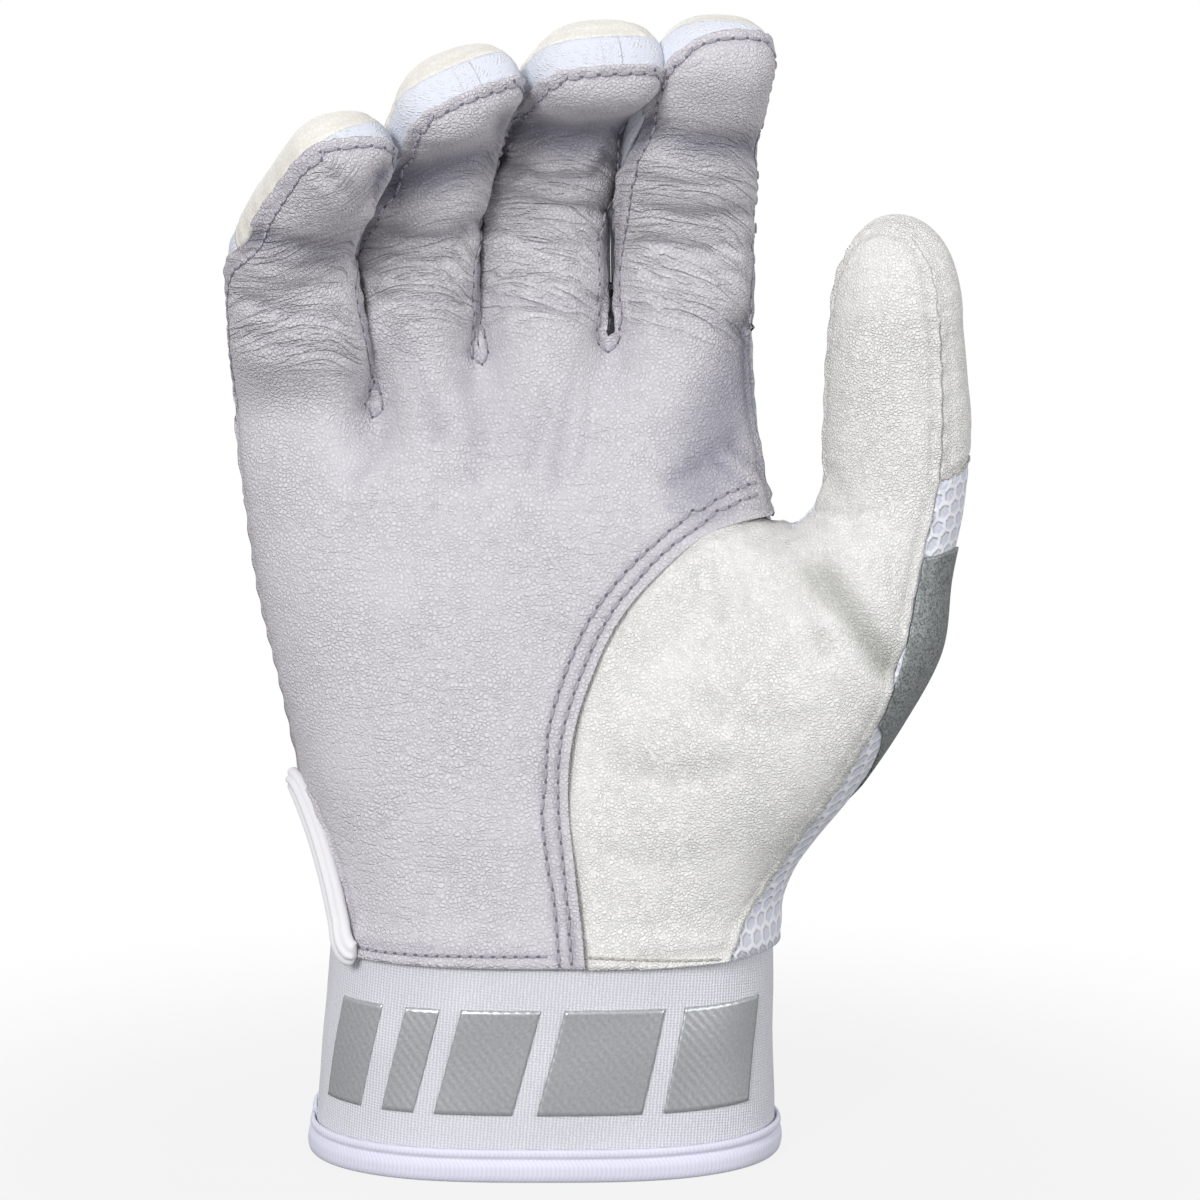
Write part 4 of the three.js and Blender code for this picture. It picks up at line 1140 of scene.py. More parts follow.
@dataclass
class StitchRow:
    """A row of stitches pulled into a panel, with a dark spot of painted shade for the needle hole at the end of each
    stitch.

    Args:
        path: Points close to the panel along which it runs, in millimetres.
        pitch: Length of one stitch with its hole.
    """

    path: Array
    pitch: float = 2.6
    width: float = 0.6
    height: float = 0.5
    filled: float = 0.74
    lift_share: float = 0.3
    # Size and lift of the dark spot painted as each needle hole's shade
    hole_length: float = 0.42
    hole_width: float = 0.3
    hole_height: float = 0.1
    hole_lift: float = 0.02

    def sew(self, skin: BVHTree, threads: bmesh.types.BMesh, hole_shades: bmesh.types.BMesh) -> None:
        """Adds the row's stitches and the painted shade of its needle holes to two meshes."""
        steps = np.linalg.norm(np.diff(self.path, axis=0), axis=1)
        run = np.concatenate([[0], np.cumsum(steps)])
        count = max(int(run[-1] / self.pitch), 1)
        stations = np.linspace(0, run[-1], count + 1)
        line = np.stack([np.interp(stations, run, self.path[:, axis]) for axis in range(3)], -1)
        feet = [skin.find_nearest(Vector(point))[:2] for point in line]
        for (start, out), (end, _) in zip(feet[:-1], feet[1:]):
            along = end - start
            if along.length < self.pitch / 4:
                continue
            middle, normal, _, _ = skin.find_nearest((start + end) / 2)
            frame_of = self.place(middle + normal * self.height * self.lift_share, along, normal)
            size = Matrix.Diagonal((along.length / 2 * self.filled, self.width / 2, self.height / 2, 1))
            bmesh.ops.create_uvsphere(threads, u_segments=6, v_segments=5, radius=1, matrix=frame_of @ size
                                      @ Matrix.Rotation(math.pi / 2, 4, "Y"))
            # A dark flattened spot painted as the needle hole's shade, laid just over the panel
            spot = self.place(start + out * self.hole_lift, along, out)
            hollow = Matrix.Diagonal((self.hole_length, self.hole_width, self.hole_height, 1))
            bmesh.ops.create_uvsphere(hole_shades, u_segments=6, v_segments=4, radius=1, matrix=spot @ hollow)

    @staticmethod
    def place(origin: Vector, along: Vector, normal: Vector) -> Matrix:
        """Turned place whose X runs along the row and whose Z faces out of the panel."""
        ahead = along.normalized()
        aside = normal.cross(ahead).normalized()
        out = ahead.cross(aside)
        turned = Matrix((ahead, aside, out)).transposed().to_4x4()
        return Matrix.Translation(origin) @ turned


@dataclass(frozen=True)
class SewnEdge:
    """How a panel lies beside its seams: its puckers, the pull of its row of stitches and its turned edge.

    Args:
        reach: How far the puckers reach in from the seam; pitch, sway and sway_length give their rhythm.
        pucker: How deep they are.
        row_width: Half of the width that the row of stitches, at inset from the seam, pulls in by row_depth.
        roll_reach: Width of the turned edge, which sinks by roll, or stands up where roll is negative.
        calm: How close to a seam the unevenness of the panel dies away.
        waves: How many waves the unevenness has, of wave_lengths.
    """

    reach: float = 3.0
    pitch: float = 4.6
    sway: float = 1.7
    sway_length: float = 7.1
    pucker: float = 0.14
    row_width: float = 0.7
    row_depth: float = 0.18
    roll_reach: float = 1.0
    roll: float = 0.1
    inset: float = 1.7
    calm: float = 4.0
    waves: int = 14
    wave_lengths: tuple[float, float] = (9, 26)

    def row(self, state: PanelState) -> Array:
        """How deep the row of stitches pulls the panel in."""
        return bell(state.edge - self.inset, self.row_width) * self.row_depth

    def sunk(self, state: PanelState, size: float, seed: int, share: Any = 1.0) -> Array:
        """How deep the panel lies beside its seams, with the soft unevenness of what fills it.

        Args:
            state: The panel's points.
            size: How high the unevenness stands.
            seed: Number that starts it.
            share: How strongly the seams pucker.

        Returns:
            The depths.
        """
        near = np.exp(-state.edge / self.reach) * share
        swing = self.sway * np.sin(state.length / self.sway_length)
        pucker = np.sin(state.length * 2 * math.pi / self.pitch + swing) * near * self.pucker
        turned = bell(state.edge, self.roll_reach) * self.roll
        draw = np.random.default_rng(seed)
        uneven = np.zeros(len(state.points))
        for _ in range(self.waves):
            way = draw.normal(size=3)
            way /= np.linalg.norm(way)
            uneven += np.sin(state.points @ way * (2 * math.pi / draw.uniform(*self.wave_lengths))
                             + draw.uniform(0, 2 * math.pi))
        return pucker + self.row(state) + turned + uneven / self.waves * size * limit(state.edge / self.calm)


LEATHER_EDGE = SewnEdge(reach=3.2, pitch=5.1, sway=2.2, sway_length=9.3, pucker=0.16, row_width=0.75, row_depth=0.28,
                        roll_reach=1.1, roll=-0.3)
CLOTH_EDGE = SewnEdge()


@dataclass(frozen=True)
class ThumbWeb:
    """How the thumb's front leather is cut and laid, in shares of its rows unless they are millimetres."""

    seam_row: float = 7 / 15
    body_row: float = 12 / 15
    rear_body_row: float = 5 / 8
    seam_end: float = 0.92
    fanning: float = 1.7
    # Shares of the web's curve with how far it hangs there, in millimetres
    hangs: tuple[tuple[float, float], ...] = ((0.35, -0.3), (0.7, -0.1))
    corner_hang: float = -0.2
    sag: float = 34.0
    sag_rows: tuple[float, float] = (0.75, 0.17)
    sag_end: float = 0.3
    round_end: float = 0.14
    tuck_fade: tuple[float, float] = (0.7, 0.3)
    span_rows: tuple[float, float] = (0.55, 0.2)
    floor: float = 2.2
    floor_width: float = 0.05
    floor_rows: tuple[float, float] = (0.93, 0.04)
    floor_end: float = 0.025
    smoothed: tuple[tuple[float, float, float], float, int] = ((43.5, -4.0, 112.0), 6.0, 6)


@dataclass(frozen=True)
class RibbonLay:
    """How a ribbon lies between two fingers, by its reach up from the web, of which a finger's side takes body."""

    body: float = 8
    tip: float = 3
    end: float = 14.3
    outer_end: float = 17
    root_tuck: float = 0.35
    open_span: tuple[float, float] = (2.2, 1.2)
    open_place: float = -0.2
    closed: float = 0.97
    closed_span: tuple[float, float] = (4, 3)
    half: float = 1.5


@dataclass
class Hand:
    """The glove's hand: palm, back, fingers, webs and thumb."""

    form: HandForm
    fingers: list[FingerForm]
    plane: ViewPlane
    web: ThumbWeb = ThumbWeb()
    ribbon_lay: RibbonLay = RibbonLay()
    leather: float = 1.0
    cloth: float = 1.0
    film: float = 0.4
    film_lift: float = 0.45
    knuckle_start_share: float = 0.42
    knuckle_end_share: float = 0.6
    hem_overlap: float = 1.9
    hem_reach: float = 7.0
    hem_lift: float = 1.25
    lap: float = 5.0
    lap_lift: float = 0.65
    double_row: tuple[float, float] = (2.1, 4.3)
    double_row_width: float = 0.7
    double_row_depth: float = 0.22
    hem_pitch: float = 1.9
    hem_row_out: float = 1.2
    beside_seam: float = 9.0
    beside_web: float = 6.0
    corner_calm: tuple[float, float] = (2.0, 7.0)
    facing_gain: float = 4.0
    facing_start: float = 0.4
    back_pucker: float = 0.35
    web_level: float = 0.5
    hem_height: float = 6.0
    lap_width: float = 4.2
    lap_end: tuple[float, float] = (8.0, 6.0)
    # Share of the double rows' pull that is painted as shade
    double_row_painted_shade: float = 0.3
    tuck_start: float = 0.2
    tuck_width: float = 2.2
    tuck_end: tuple[float, float] = (5.5, 2.5)
    # Share of the tuck that is painted as shade
    tuck_painted_shade: float = 0.25
    tuck_depth: float = 0.75
    seam_row_span: tuple[float, float, int] = (0.008, 0.982, 160)
    seam_row_swerve: float = 2.2
    seam_row_turn: tuple[float, float] = (0.84, 0.16)
    palm_hem_span: tuple[float, float, int] = (0.045, 0.86, 120)
    tip_row_span: tuple[float, float, int] = (0.06, 0.94, 60)
    thumb_hem_span: tuple[float, float, int] = (0.02, 0.98, 90)
    thumb_cuff_span: tuple[float, float, int] = (0.14, 0.97, 90)
    row_end: float = 0.985
    row_inset_span: tuple[float, float] = (0.45, 0.3)
    row_body_share: float = 0.93
    row_slope: float = 1.15
    # Shares of fold depth and of stitch row pull that are painted as shade
    fold_painted_shade: float = 0.55
    row_painted_shade: float = 0.9
    slot_turn: tuple[float, float] = (1.5, 3.0)
    slit_turn: tuple[float, float] = (2.0, 3.0)
    slot_lift: float = 0.2
    row_inset_free: float = 0.5
    row_inset_slit: float = 1.5
    crease_reach: float = 4.5
    leather_uneven: float = 0.55
    columns: int = 30
    palm_rows: int = 126
    thumb_front_turn: float = 61.0
    thumb_back_turn: float = 119.0
    thumb_sides_turn: float = 122.0
    silver_top: tuple[float, ...] = (0.652, 0.66, 0.62, 0.52, 0.38)
    silver_bottom: tuple[float, ...] = (0.376, 0.25, 0.13, 0.06, 0.03)
    finger_rows: int = 96

    def __post_init__(self) -> None:
        """Draws the front and back patches between their edges."""
        self.palm_patch = self.patch(1, self.left_edge(self.form.vent_draw_in), self.palm_right)
        self.back_patch = self.patch(-1, self.left_edge(self.form.vent_back_draw_in), self.back_right)

    def left_edge(self, draw_in: float) -> Callable[[Array, Array], Array]:
        """Left edge of a patch: along the vent and then up to the little finger's corner."""
        def edge(v: Array, top: Array) -> Array:
            """Places across and up at shares along the edge."""
            z = mix(self.form.cuff_height + self.form.seam_gap, top[1], v)
            ahead = top[0] - self.form.hand_at(top[1]).left
            return stack(self.form.hand_at(z).left + draw_in * self.form.vent_open_at(z) + ahead * v, z)
        return edge

    def index_side(self, start: Array, share: Array, top: Array) -> Array:
        """The side of the index finger between the thumb's web and the finger's corner."""
        z = mix(start[..., 1], top[1], share)
        ahead = mix(start[..., 0] - self.form.hand_at(start[..., 1]).right,
                    top[0] - self.form.hand_at(top[1]).right, share)
        return stack(self.form.hand_at(z).right + ahead, z)

    def palm_right(self, v: Array, top: Array) -> Array:
        """Right edge of the palm: along the thumb's seam and then up the side of the index finger."""
        end = self.form.seam_end_share
        upper = self.index_side(self.form.palm_seam.at_share(np.ones_like(v)), (v - end) / (1 - end), top)
        lower = self.form.palm_seam.at_share(limit(v / end))
        return choose(v <= end, lower, upper)

    def back_right(self, v: Array, top: Array) -> Array:
        """Right edge of the back: along the gusset and then up the side of the index finger."""
        end = self.form.seam_end_share
        gap = self.form.seam_gap
        z = mix(self.form.cuff_height + gap, self.thumb_hem(np.ones_like(v)) - gap, np.minimum(v / end, 1))
        x = np.where(z < self.form.web_height, self.form.back_seam_at(z) - gap / 2, self.form.hand_at(z).right)
        start = stack(x, z)
        upper = self.index_side(start, (v - end) / (1 - end), top)
        return choose(v <= end, start, upper)

    def patch(self, side: float, left: Callable[[Array, Array], Array],
              right: Callable[[Array, Array], Array]) -> Surface:
        """A patch of the hand between its left and right edges, with the webs as its top edge."""
        sheets = [finger.sheet(side) for finger in self.fingers]

        def top_at(c: Array) -> Array:
            """Points of the top edge at shares across."""
            count = len(sheets)
            place = np.minimum(np.floor(c * count + 1e-9), count - 1).astype(int)
            points = np.zeros((*c.shape, 3))
            for index, sheet in enumerate(sheets):
                own = place == index
                share = np.round(c[own] * count - index, 9)
                points[own] = sheet(share, np.zeros_like(share))
            return points

        corners = top_at(np.array([0.0, 1.0]))[:, [0, 2]]

        def surface(c: Array, v: Array) -> Array:
            """Points at shares across and up the patch."""
            upper = top_at(c)
            zero = np.zeros_like(v)
            bottom = mix(left(zero, corners[0]), right(zero, corners[1]), c[..., None])
            sides = mix(left(v, corners[0]), right(v, corners[1]), c[..., None])
            level = mix(corners[0], corners[1], c[..., None])
            place = mix(bottom, upper[..., [0, 2]], v[..., None]) + sides - mix(bottom, level, v[..., None])
            y = self.form.dented(place[..., 0], place[..., 1], side)
            points = stack(place[..., 0], y, place[..., 1])
            return choose(v == 1, upper, points)

        return surface

    def thumb_hem(self, t: Array) -> Array:
        """Height of the hem of the thumb's back leather, from the outer seam round to its inner side."""
        seam, side, inner = (self.form.front_point((0, share))[1] for share in self.form.thumb_hem_shares)
        bend = self.silhouette_share
        return np.where(t < bend, mix(seam, side, t / bend), mix(side, inner, (t - bend) / (1 - bend)))

    @property
    def web_corner(self) -> Array:
        """Place across and up of the corner between the hand and the thumb, where no fold reaches."""
        level = self.form.web_height + self.form.seam_gap
        thumb = self.form.thumb_at(np.array(level))
        return np.array((thumb.middle - thumb.half, level))

    @property
    def silhouette_share(self) -> float:
        """Share of the thumb's side at which it turns from front to back."""
        return (180 - 2 * self.thumb_front_turn) / (2 * self.thumb_back_turn)

    def thumb_side(self, t: Array, z: Array) -> Array:
        """The thumb's side and back from the outer seam round the silhouette to the seam on the back."""
        form, gap, bend = self.form, self.form.seam_gap / 2, self.silhouette_share
        thumb = form.thumb_at(z)
        apart = z >= form.web_height
        right = np.maximum(thumb.right, np.where(apart, thumb.right, form.hand_at(z).right))
        front_x = mix(form.outer_seam_at(z) + gap, right, np.sin(math.pi / 2 * limit(t / bend)))
        share = limit((t - bend) / (1 - bend))
        turn = mix(math.pi / 2, math.pi - gap / thumb.half,
                   ease(1 - (form.web_height - z) / form.thumb_width))
        end = np.where(apart, thumb.left + gap / form.thumb_width, form.back_seam_at(z) + gap)
        back_x = mix(right, end, (1 - np.cos(turn * share)) / (1 - np.cos(turn)))
        front = form.skin(front_x, z, 1, apart)
        back = form.skin(back_x, z, -1, apart)
        return choose(t < bend, stack(front_x, front, z), stack(back_x, back, z))

    def thumb_over(self, a: Array, b: Array, turn: float, facing: float) -> Array:
        """Points over the rounded tip of the thumb."""
        ball = ball_at(a, b, turn, math.radians(facing))
        thumb = self.form.thumb_at(np.array(self.form.thumb_body_end))
        return stack(thumb.middle + thumb.half * ball[..., 0], -(thumb.forward + thumb.depth * ball[..., 1]),
                     self.form.thumb_body_end + self.form.thumb_tip * ball[..., 2])

    def thumb_front(self) -> Surface:
        """Front leather of the thumb, which runs on under the palm's edge and along the lower edge of the web."""
        form, laid_as = self.form, self.web
        turn = math.radians(self.thumb_sides_turn)
        seam_row, body_row, web_share = laid_as.seam_row, laid_as.body_row, laid_as.seam_end
        fold = float(self.thumb_hem(np.zeros(1))[0]) - form.seam_gap
        crotch = self.web_corner
        corner = form.palm_seam.at_share(np.ones(1))[0]
        hanging = [mix(corner, crotch, share) + (0, hang) for share, hang in laid_as.hangs]
        web = SmoothCurve(tuple(map(tuple, (corner + (0.0, laid_as.corner_hang), *hanging, crotch))))

        def on_skin(x: Array, z: Array) -> Array:
            """Points of the skin, which is the thumb's above the web and the hand's beside it."""
            return stack(x, form.skin(x, z, 1, (z >= form.web_height) & (x > mix(corner[0], crotch[0], 0.4))), z)

        def dip(u: Array, strength: Array) -> Array:
            """How far a row of the leather sags below the web at a share across it."""
            return laid_as.sag * strength * u * (1 - u) ** 3

        def surface(u: Array, v: Array) -> Array:
            """Points at shares across and up the leather."""
            above = limit((v - seam_row) / (body_row - seam_row))
            fanned = (v / seam_row) ** laid_as.fanning
            right_level = np.where(v < seam_row, mix(form.cuff_height + form.seam_gap, fold, fanned),
                                   mix(fold, form.thumb_body_end, above))
            right = stack(form.outer_seam_at(right_level) - form.seam_gap / 2, right_level)
            share = limit(v / seam_row / web_share)
            along = form.palm_seam.tangent(share)
            tuck = self.lap * (1 - risen(share, laid_as.tuck_fade))
            left = form.palm_seam.at_share(share) + stack(along[..., 1], -along[..., 0]) * (-tuck)[..., None]
            past = limit((v / seam_row - web_share) / (1 - web_share))
            left = choose(past > 0, web.at(past), left)

            def row(across: Array) -> Array:
                """Points of the lower rows at shares across."""
                place = mix(left, right, across[..., None])
                return on_skin(place[..., 0], place[..., 1] - dip(across, risen(v / seam_row, laid_as.sag_rows)))

            lower = row(u)
            chord = mix(row(0 * u)[..., 1], row(0 * u + 0.5)[..., 1], limit(2 * u))
            spanned = risen(v / seam_row, laid_as.span_rows) * (u < 0.5)
            lower[..., 1] = mix(lower[..., 1], np.minimum(lower[..., 1], chord), spanned)
            left_level = mix(crotch[1], form.thumb_body_end, above)
            thumb = form.thumb_at(left_level)
            across = mix(u, (1 - np.cos(turn * u)) / (1 - math.cos(turn)), ease(above / laid_as.round_end))
            upper = on_skin(mix(thumb.middle - thumb.half, right[..., 0], across),
                            mix(left_level, right_level, u) - dip(u, 1 - ease(above / laid_as.sag_end)))
            tip = self.thumb_over(2 * u - 1, limit((v - body_row) / (1 - body_row)),
                                  math.radians(self.thumb_front_turn), self.thumb_back_turn)
            body = choose(v <= seam_row, lower, upper)
            laid = (ease(1 - u / laid_as.floor_width) * risen(v / seam_row, laid_as.floor_rows)
                    * (1 - ease(above / laid_as.floor_end)))
            body[..., 1] = mix(body[..., 1], np.maximum(body[..., 1], laid_as.floor), laid)
            return choose(v >= body_row, tip, body)

        return surface

    def thumb_rear(self) -> Surface:
        """Back leather of the thumb, over its tip."""
        form, body_row = self.form, self.web.rear_body_row

        def surface(u: Array, v: Array) -> Array:
            """Points at shares round and up the leather."""
            z = mix(self.thumb_hem(u) - 1.0, form.thumb_body_end, limit(v / body_row))
            tip = self.thumb_over(2 * u - 1, limit((v - body_row) / (1 - body_row)),
                                  math.radians(self.thumb_back_turn), -self.thumb_front_turn)
            return choose(v >= body_row, tip, self.thumb_side(u, z))

        return surface

    def ribbon(self, web: int) -> Surface:
        """Ribbon between two fingers, from one tip down into the web and up to the next tip."""
        lay = self.ribbon_lay
        pair = (self.fingers[web], self.fingers[web + 1])
        web_place = self.form.webs[web]

        def wall(finger: FingerForm, first: bool, reach: Array, w: Array) -> Array:
            """Points on one finger's side at a reach from the web and a share across."""
            start = finger.start_right if first else finger.start_left
            over = np.maximum(reach - lay.body, 0) / lay.tip
            near, far = (finger.right_turn, finger.left_turn) if first else (finger.left_turn, finger.right_turn)
            tuck = mix(lay.root_tuck, 1, ease(reach / lay.tip))
            end = np.cos(mix(near, far, np.maximum(over - 1, 0) / 2))
            inner = np.cos(finger.turn_at(limit(reach / lay.body), not first, 1))
            deep = (1 - risen(reach, lay.open_span)) * (finger.slits[1 if first else 0] > 0)
            front = mix(tuck * np.minimum(end, np.where(over > 0, end, inner)), lay.open_place, deep)
            y = mix(front, -tuck * end, w)
            turn = np.where(over < 1, np.arctan(over), math.pi / 2 - np.arctan(2 - over))
            flat = np.sqrt(1 - y * y)
            ball = stack((1 if first else -1) * np.cos(turn) * flat, y, np.sin(turn) * flat)
            return finger.skin_at(mix(start, finger.body_end, limit(reach / lay.body)), ball, 0)

        def surface(u: Array, v: Array) -> Array:
            """Points at shares along and across the ribbon."""
            outer = [lay.outer_end if finger.place in (0, finger.last_place) else lay.end for finger in pair]
            reach = np.abs(2 * u - 1) * np.where(u < 0.5, outer[0], outer[1])
            sides = [wall(finger, place == 0, reach, v) for place, finger in enumerate(pair)]
            own = choose(u < 0.5, sides[0], sides[1])
            shut = (lay.closed * (1 - risen(reach, lay.closed_span)))[..., None]
            own = mix(own, (sides[0] + sides[1]) / 2, shut)
            middle = stack(web_place[0], mix(-lay.half, lay.half, v), web_place[1])
            return mix(middle, own, ease(reach)[..., None])

        return surface

    def seam_distance(self, points: Array, faded: bool = True) -> Array:
        """Distance to the seam between palm and thumb, negative on the palm's side, and far above its end if faded."""
        shares = np.linspace(0, 1, 120)
        line = self.form.palm_seam.at_share(shares)
        way = self.form.palm_seam.tangent(shares)
        flat = points[:, [0, 2]]
        best = np.full(len(points), np.inf)
        signed = np.zeros(len(points))
        for spot, ahead in zip(line, way):
            offset = flat - spot
            reach = np.linalg.norm(offset, axis=1)
            nearer = reach < best
            best = np.where(nearer, reach, best)
            signed = np.where(nearer, np.sign(offset @ np.array((ahead[1], -ahead[0]))) * reach, signed)
        if not faded:
            return signed
        fade = ease((points[:, 2] - self.form.web_height - 4) / 3)
        return mix(signed, FAR, fade)

    def at_cuff(self, points: Array, normals: Array) -> Array:
        """Lays the lower hem of a panel over the cuff's upper edge."""
        low = ease(1 - (points[:, 2] - self.form.cuff_height) / self.hem_reach)
        moved = points + unit(normals * (1, 1, 0), 1e-6) * (self.hem_lift * low)[:, None]
        moved[:, 2] -= self.hem_overlap * low
        return moved

    def fold_in(self, state: PanelState, folds: Sequence[Fold], seed: int) -> Array:
        """Relief of a leather panel: folds, puckers beside the seams, the pull of the stitches and unevenness, with
        shade painted into its folds and stitch rows.

        Args:
            state: The panel's points.
            folds: The folds seen from the front.
            seed: Number that starts its unevenness.

        Returns:
            The relieved points.
        """
        places = self.plane.picture(state.points)
        facing = limit(-state.normals[:, 1] * self.facing_gain + self.facing_start)
        sunk = np.zeros(len(places))
        for fold in folds:
            reach = fold.reach(places, self.plane)
            sunk += fold.sink(reach) * facing
            if fold.creased:
                drawn = fold.creased * bell(reach, self.crease_reach) * facing
                state.wrinkle = np.maximum(state.wrinkle, drawn)
        sunk *= risen(np.linalg.norm(state.points[:, [0, 2]] - self.web_corner, axis=1), self.corner_calm)
        # Painted shade: how deep the folds sink and how hard the stitch row pulls, kept as darker colour
        state.fold = limit(np.maximum(sunk, 0) * self.fold_painted_shade + LEATHER_EDGE.row(state) * self.row_painted_shade)
        depth = sunk + LEATHER_EDGE.sunk(state, self.leather_uneven, seed, mix(self.back_pucker, 1, facing))
        return state.points - state.normals * depth[:, None]

    def palm_relief(self, state: PanelState) -> Array:
        """Relief of the palm: its folds, its hem over the cuff and its raised edge over the thumb's leather, with
        shade painted into its folds and along its rows of stitches.
        """
        for web in self.form.webs:
            below = state.points[:, [0, 2]] - web
            reach = np.linalg.norm(below, axis=1)
            state.edge = np.where(below[:, 1] < self.web_level, np.minimum(state.edge, reach), state.edge)
        seam = np.abs(self.seam_distance(state.points))
        state.edge = np.where(seam < self.beside_web, np.maximum(state.edge, seam), state.edge)
        by_seam, keep = seam < self.beside_seam, state.edge.copy()
        below_end = self.form.web_height + self.lap_end[0] - state.points[:, 2]
        lifted = ease(1 - seam / self.lap_width) * ease(below_end / self.lap_end[1])
        state.edge = np.where(by_seam, FAR, state.edge)
        hemmed = state.points[:, 2] < self.form.cuff_height + self.hem_height
        state.edge = np.where(hemmed & by_seam, np.minimum(keep, state.points[:, 2] - self.form.cuff_height),
                              state.edge)
        points = self.fold_in(state, PALM_FOLDS, Seed.PALM)
        rows = sum(bell(seam - inset, self.double_row_width) for inset in self.double_row) * by_seam
        points = points + state.normals * (lifted * self.lap_lift - rows * self.double_row_depth)[:, None]
        # Painted shade along the two rows of stitches beside the thumb's seam
        state.fold = limit(state.fold + rows * self.double_row_painted_shade)
        return self.at_cuff(points, state.normals)

    def thumb_relief(self, state: PanelState) -> Array:
        """Relief of the thumb's front: its folds, and its edge tucked under the palm, with shade painted into both."""
        seam = self.seam_distance(state.points, False)
        above = state.points[:, 2] - self.form.web_height
        state.edge = state.edge + 20 * ease((self.beside_seam - seam) / 3) * ease((9 - above) / 5)
        points = self.fold_in(state, THUMB_FOLDS, Seed.THUMB)
        tucked = ease(1 - (seam + self.tuck_start) / self.tuck_width)
        tucked *= ease((self.tuck_end[0] - above) / self.tuck_end[1])
        # Painted shade where the edge tucks under the palm
        state.fold = limit(state.fold + tucked * self.tuck_painted_shade)
        points = points - state.normals * (tucked * self.tuck_depth)[:, None]
        return self.at_cuff(points, state.normals)

    def soft_relief(self, seed: int, hem: bool = False, size: float = 0.5) -> Callable[[PanelState], Array]:
        """Relief of a cloth or back panel: turned-in edges, unevenness and shade painted along its rows of stitches,
        which only leather finishes show, with a hem over the cuff if it has one.
        """
        def relief(state: PanelState) -> Array:
            """Relieved points of one panel."""
            # Painted shade along the rows of stitches, which the leather finishes read
            state.fold = limit(CLOTH_EDGE.row(state))
            points = state.points - state.normals * CLOTH_EDGE.sunk(state, size, seed)[:, None]
            return self.at_cuff(points, state.normals) if hem else points
        return relief

    @staticmethod
    def mirrored(surface: Surface) -> Surface:
        """The same surface seen from its other end, so that its facing turns round."""
        return lambda u, v: surface(1 - u, v)

    @staticmethod
    def lifted(surface: Surface, lift: float) -> Surface:
        """The same surface moved out along its own facing."""
        def moved(u: Array, v: Array) -> Array:
            """Points of the moved surface."""
            feel = 1 / 256
            across = surface(limit(u + feel), v) - surface(limit(u - feel), v)
            along = surface(u, limit(v + feel)) - surface(u, limit(v - feel))
            return surface(u, v) + unit(np.cross(across, along)) * lift
        return moved

    def build(self) -> None:
        """Builds every panel of the hand and its stitches."""
        count = len(self.fingers)
        tip, hem = SIDES | {Seam.TOP}, SIDES | {Seam.BOTTOM}
        sheets = [Sheet(self.palm_patch, self.columns * count, self.palm_rows, hem)]
        sheets += [Sheet(finger.sheet(1), self.columns, self.finger_rows, tip, place * self.columns)
                   for place, finger in enumerate(self.fingers)]
        self.palm = Panel("palm", ("palm_leather",), "palm_leather", Finishes.PALM, sheets, self.leather,
                          relief=self.palm_relief).make()
        cells = self.columns // 2
        sheets = [Sheet(self.mirrored(self.back_patch), cells * count, self.palm_rows // 2, hem)]
        for place, finger in enumerate(self.fingers):
            end = finger.length * self.knuckle_start_share - self.form.seam_gap / 2
            sheets.append(Sheet(self.mirrored(finger.sheet(-1, None, end)), cells, 16, tip,
                                (count - 1 - place) * cells))
        Panel("back_mesh", ("hand_back_mesh",), "mesh_cloth", Finishes.MESH, sheets, self.cloth,
              relief=self.soft_relief(Seed.BACK, True)).make()
        self.build_finger_backs()
        for place in range(count - 1):
            names = (self.fingers[place].name, self.fingers[place + 1].name)
            Panel(f"web_ribbon_{place + 1}", (f"fourchette_{names[0]}_{names[1]}",), "knit_ribbon", Finishes.RIBBON,
                  [Sheet(self.ribbon(place), 168, 12, frozenset({Seam.TOP, Seam.BOTTOM}))], self.cloth).make()
        self.build_thumb()
        self.sew_rows()

    def build_finger_backs(self) -> None:
        """Knits over the knuckles and leather backs of the fingers."""
        gap = self.form.seam_gap / 2
        for place, finger in enumerate(self.fingers):
            start, end = finger.length * self.knuckle_start_share, finger.length * self.knuckle_end_share
            knit = self.mirrored(finger.sheet(-1, start + gap, end - gap))
            cover = self.mirrored(finger.sheet(-1, end + gap))
            Panel(f"knit_{finger.name}", (f"knuckle_knit_{finger.name}",), "knuckle_knit", Finishes.KNIT,
                  [Sheet(knit, 26, 20, ALL_ROUND)], self.cloth, relief=self.soft_relief(Seed.KNUCKLE + place)).make()
            Panel(f"back_leather_{finger.name}", (f"finger_back_{finger.name}",), "back_leather", Finishes.BACK,
                  [Sheet(cover, 30, 72, ALL_ROUND)], self.leather,
                  relief=self.soft_relief(Seed.FINGER_BACK + place)).make()

    def build_thumb(self) -> None:
        """Front and back leather of the thumb, the mesh around its side and the silver panel on it."""
        form = self.form
        self.thumb = Panel("thumb_front", ("thumb_leather",), "thumb_leather", Finishes.THUMB,
                           [Sheet(self.thumb_front(), 66, 180, ALL_ROUND)], self.leather,
                           relief=self.thumb_relief, softened=self.web.smoothed).make()
        self.thumb_back = Panel("thumb_rear", ("thumb_back_leather",), "back_leather", Finishes.THUMB,
                                [Sheet(self.thumb_rear(), 64, 72, ALL_ROUND)], self.leather,
                                relief=self.soft_relief(Seed.THUMB_BACK)).make()

        def mesh(t: Array, v: Array) -> Array:
            """Mesh gusset from the cuff to the hem of the back leather."""
            return self.thumb_side(t, mix(form.cuff_height + form.seam_gap, self.thumb_hem(t) - form.seam_gap, v))

        top, bottom = profile(self.silver_top), profile(self.silver_bottom)

        def silver(u: Array, v: Array) -> Array:
            """Silver panel around the gusset's outer side."""
            return self.thumb_side(mix(0.004, 0.9, u), form.cuff_height + form.palm_length * mix(bottom(u), top(u), v))

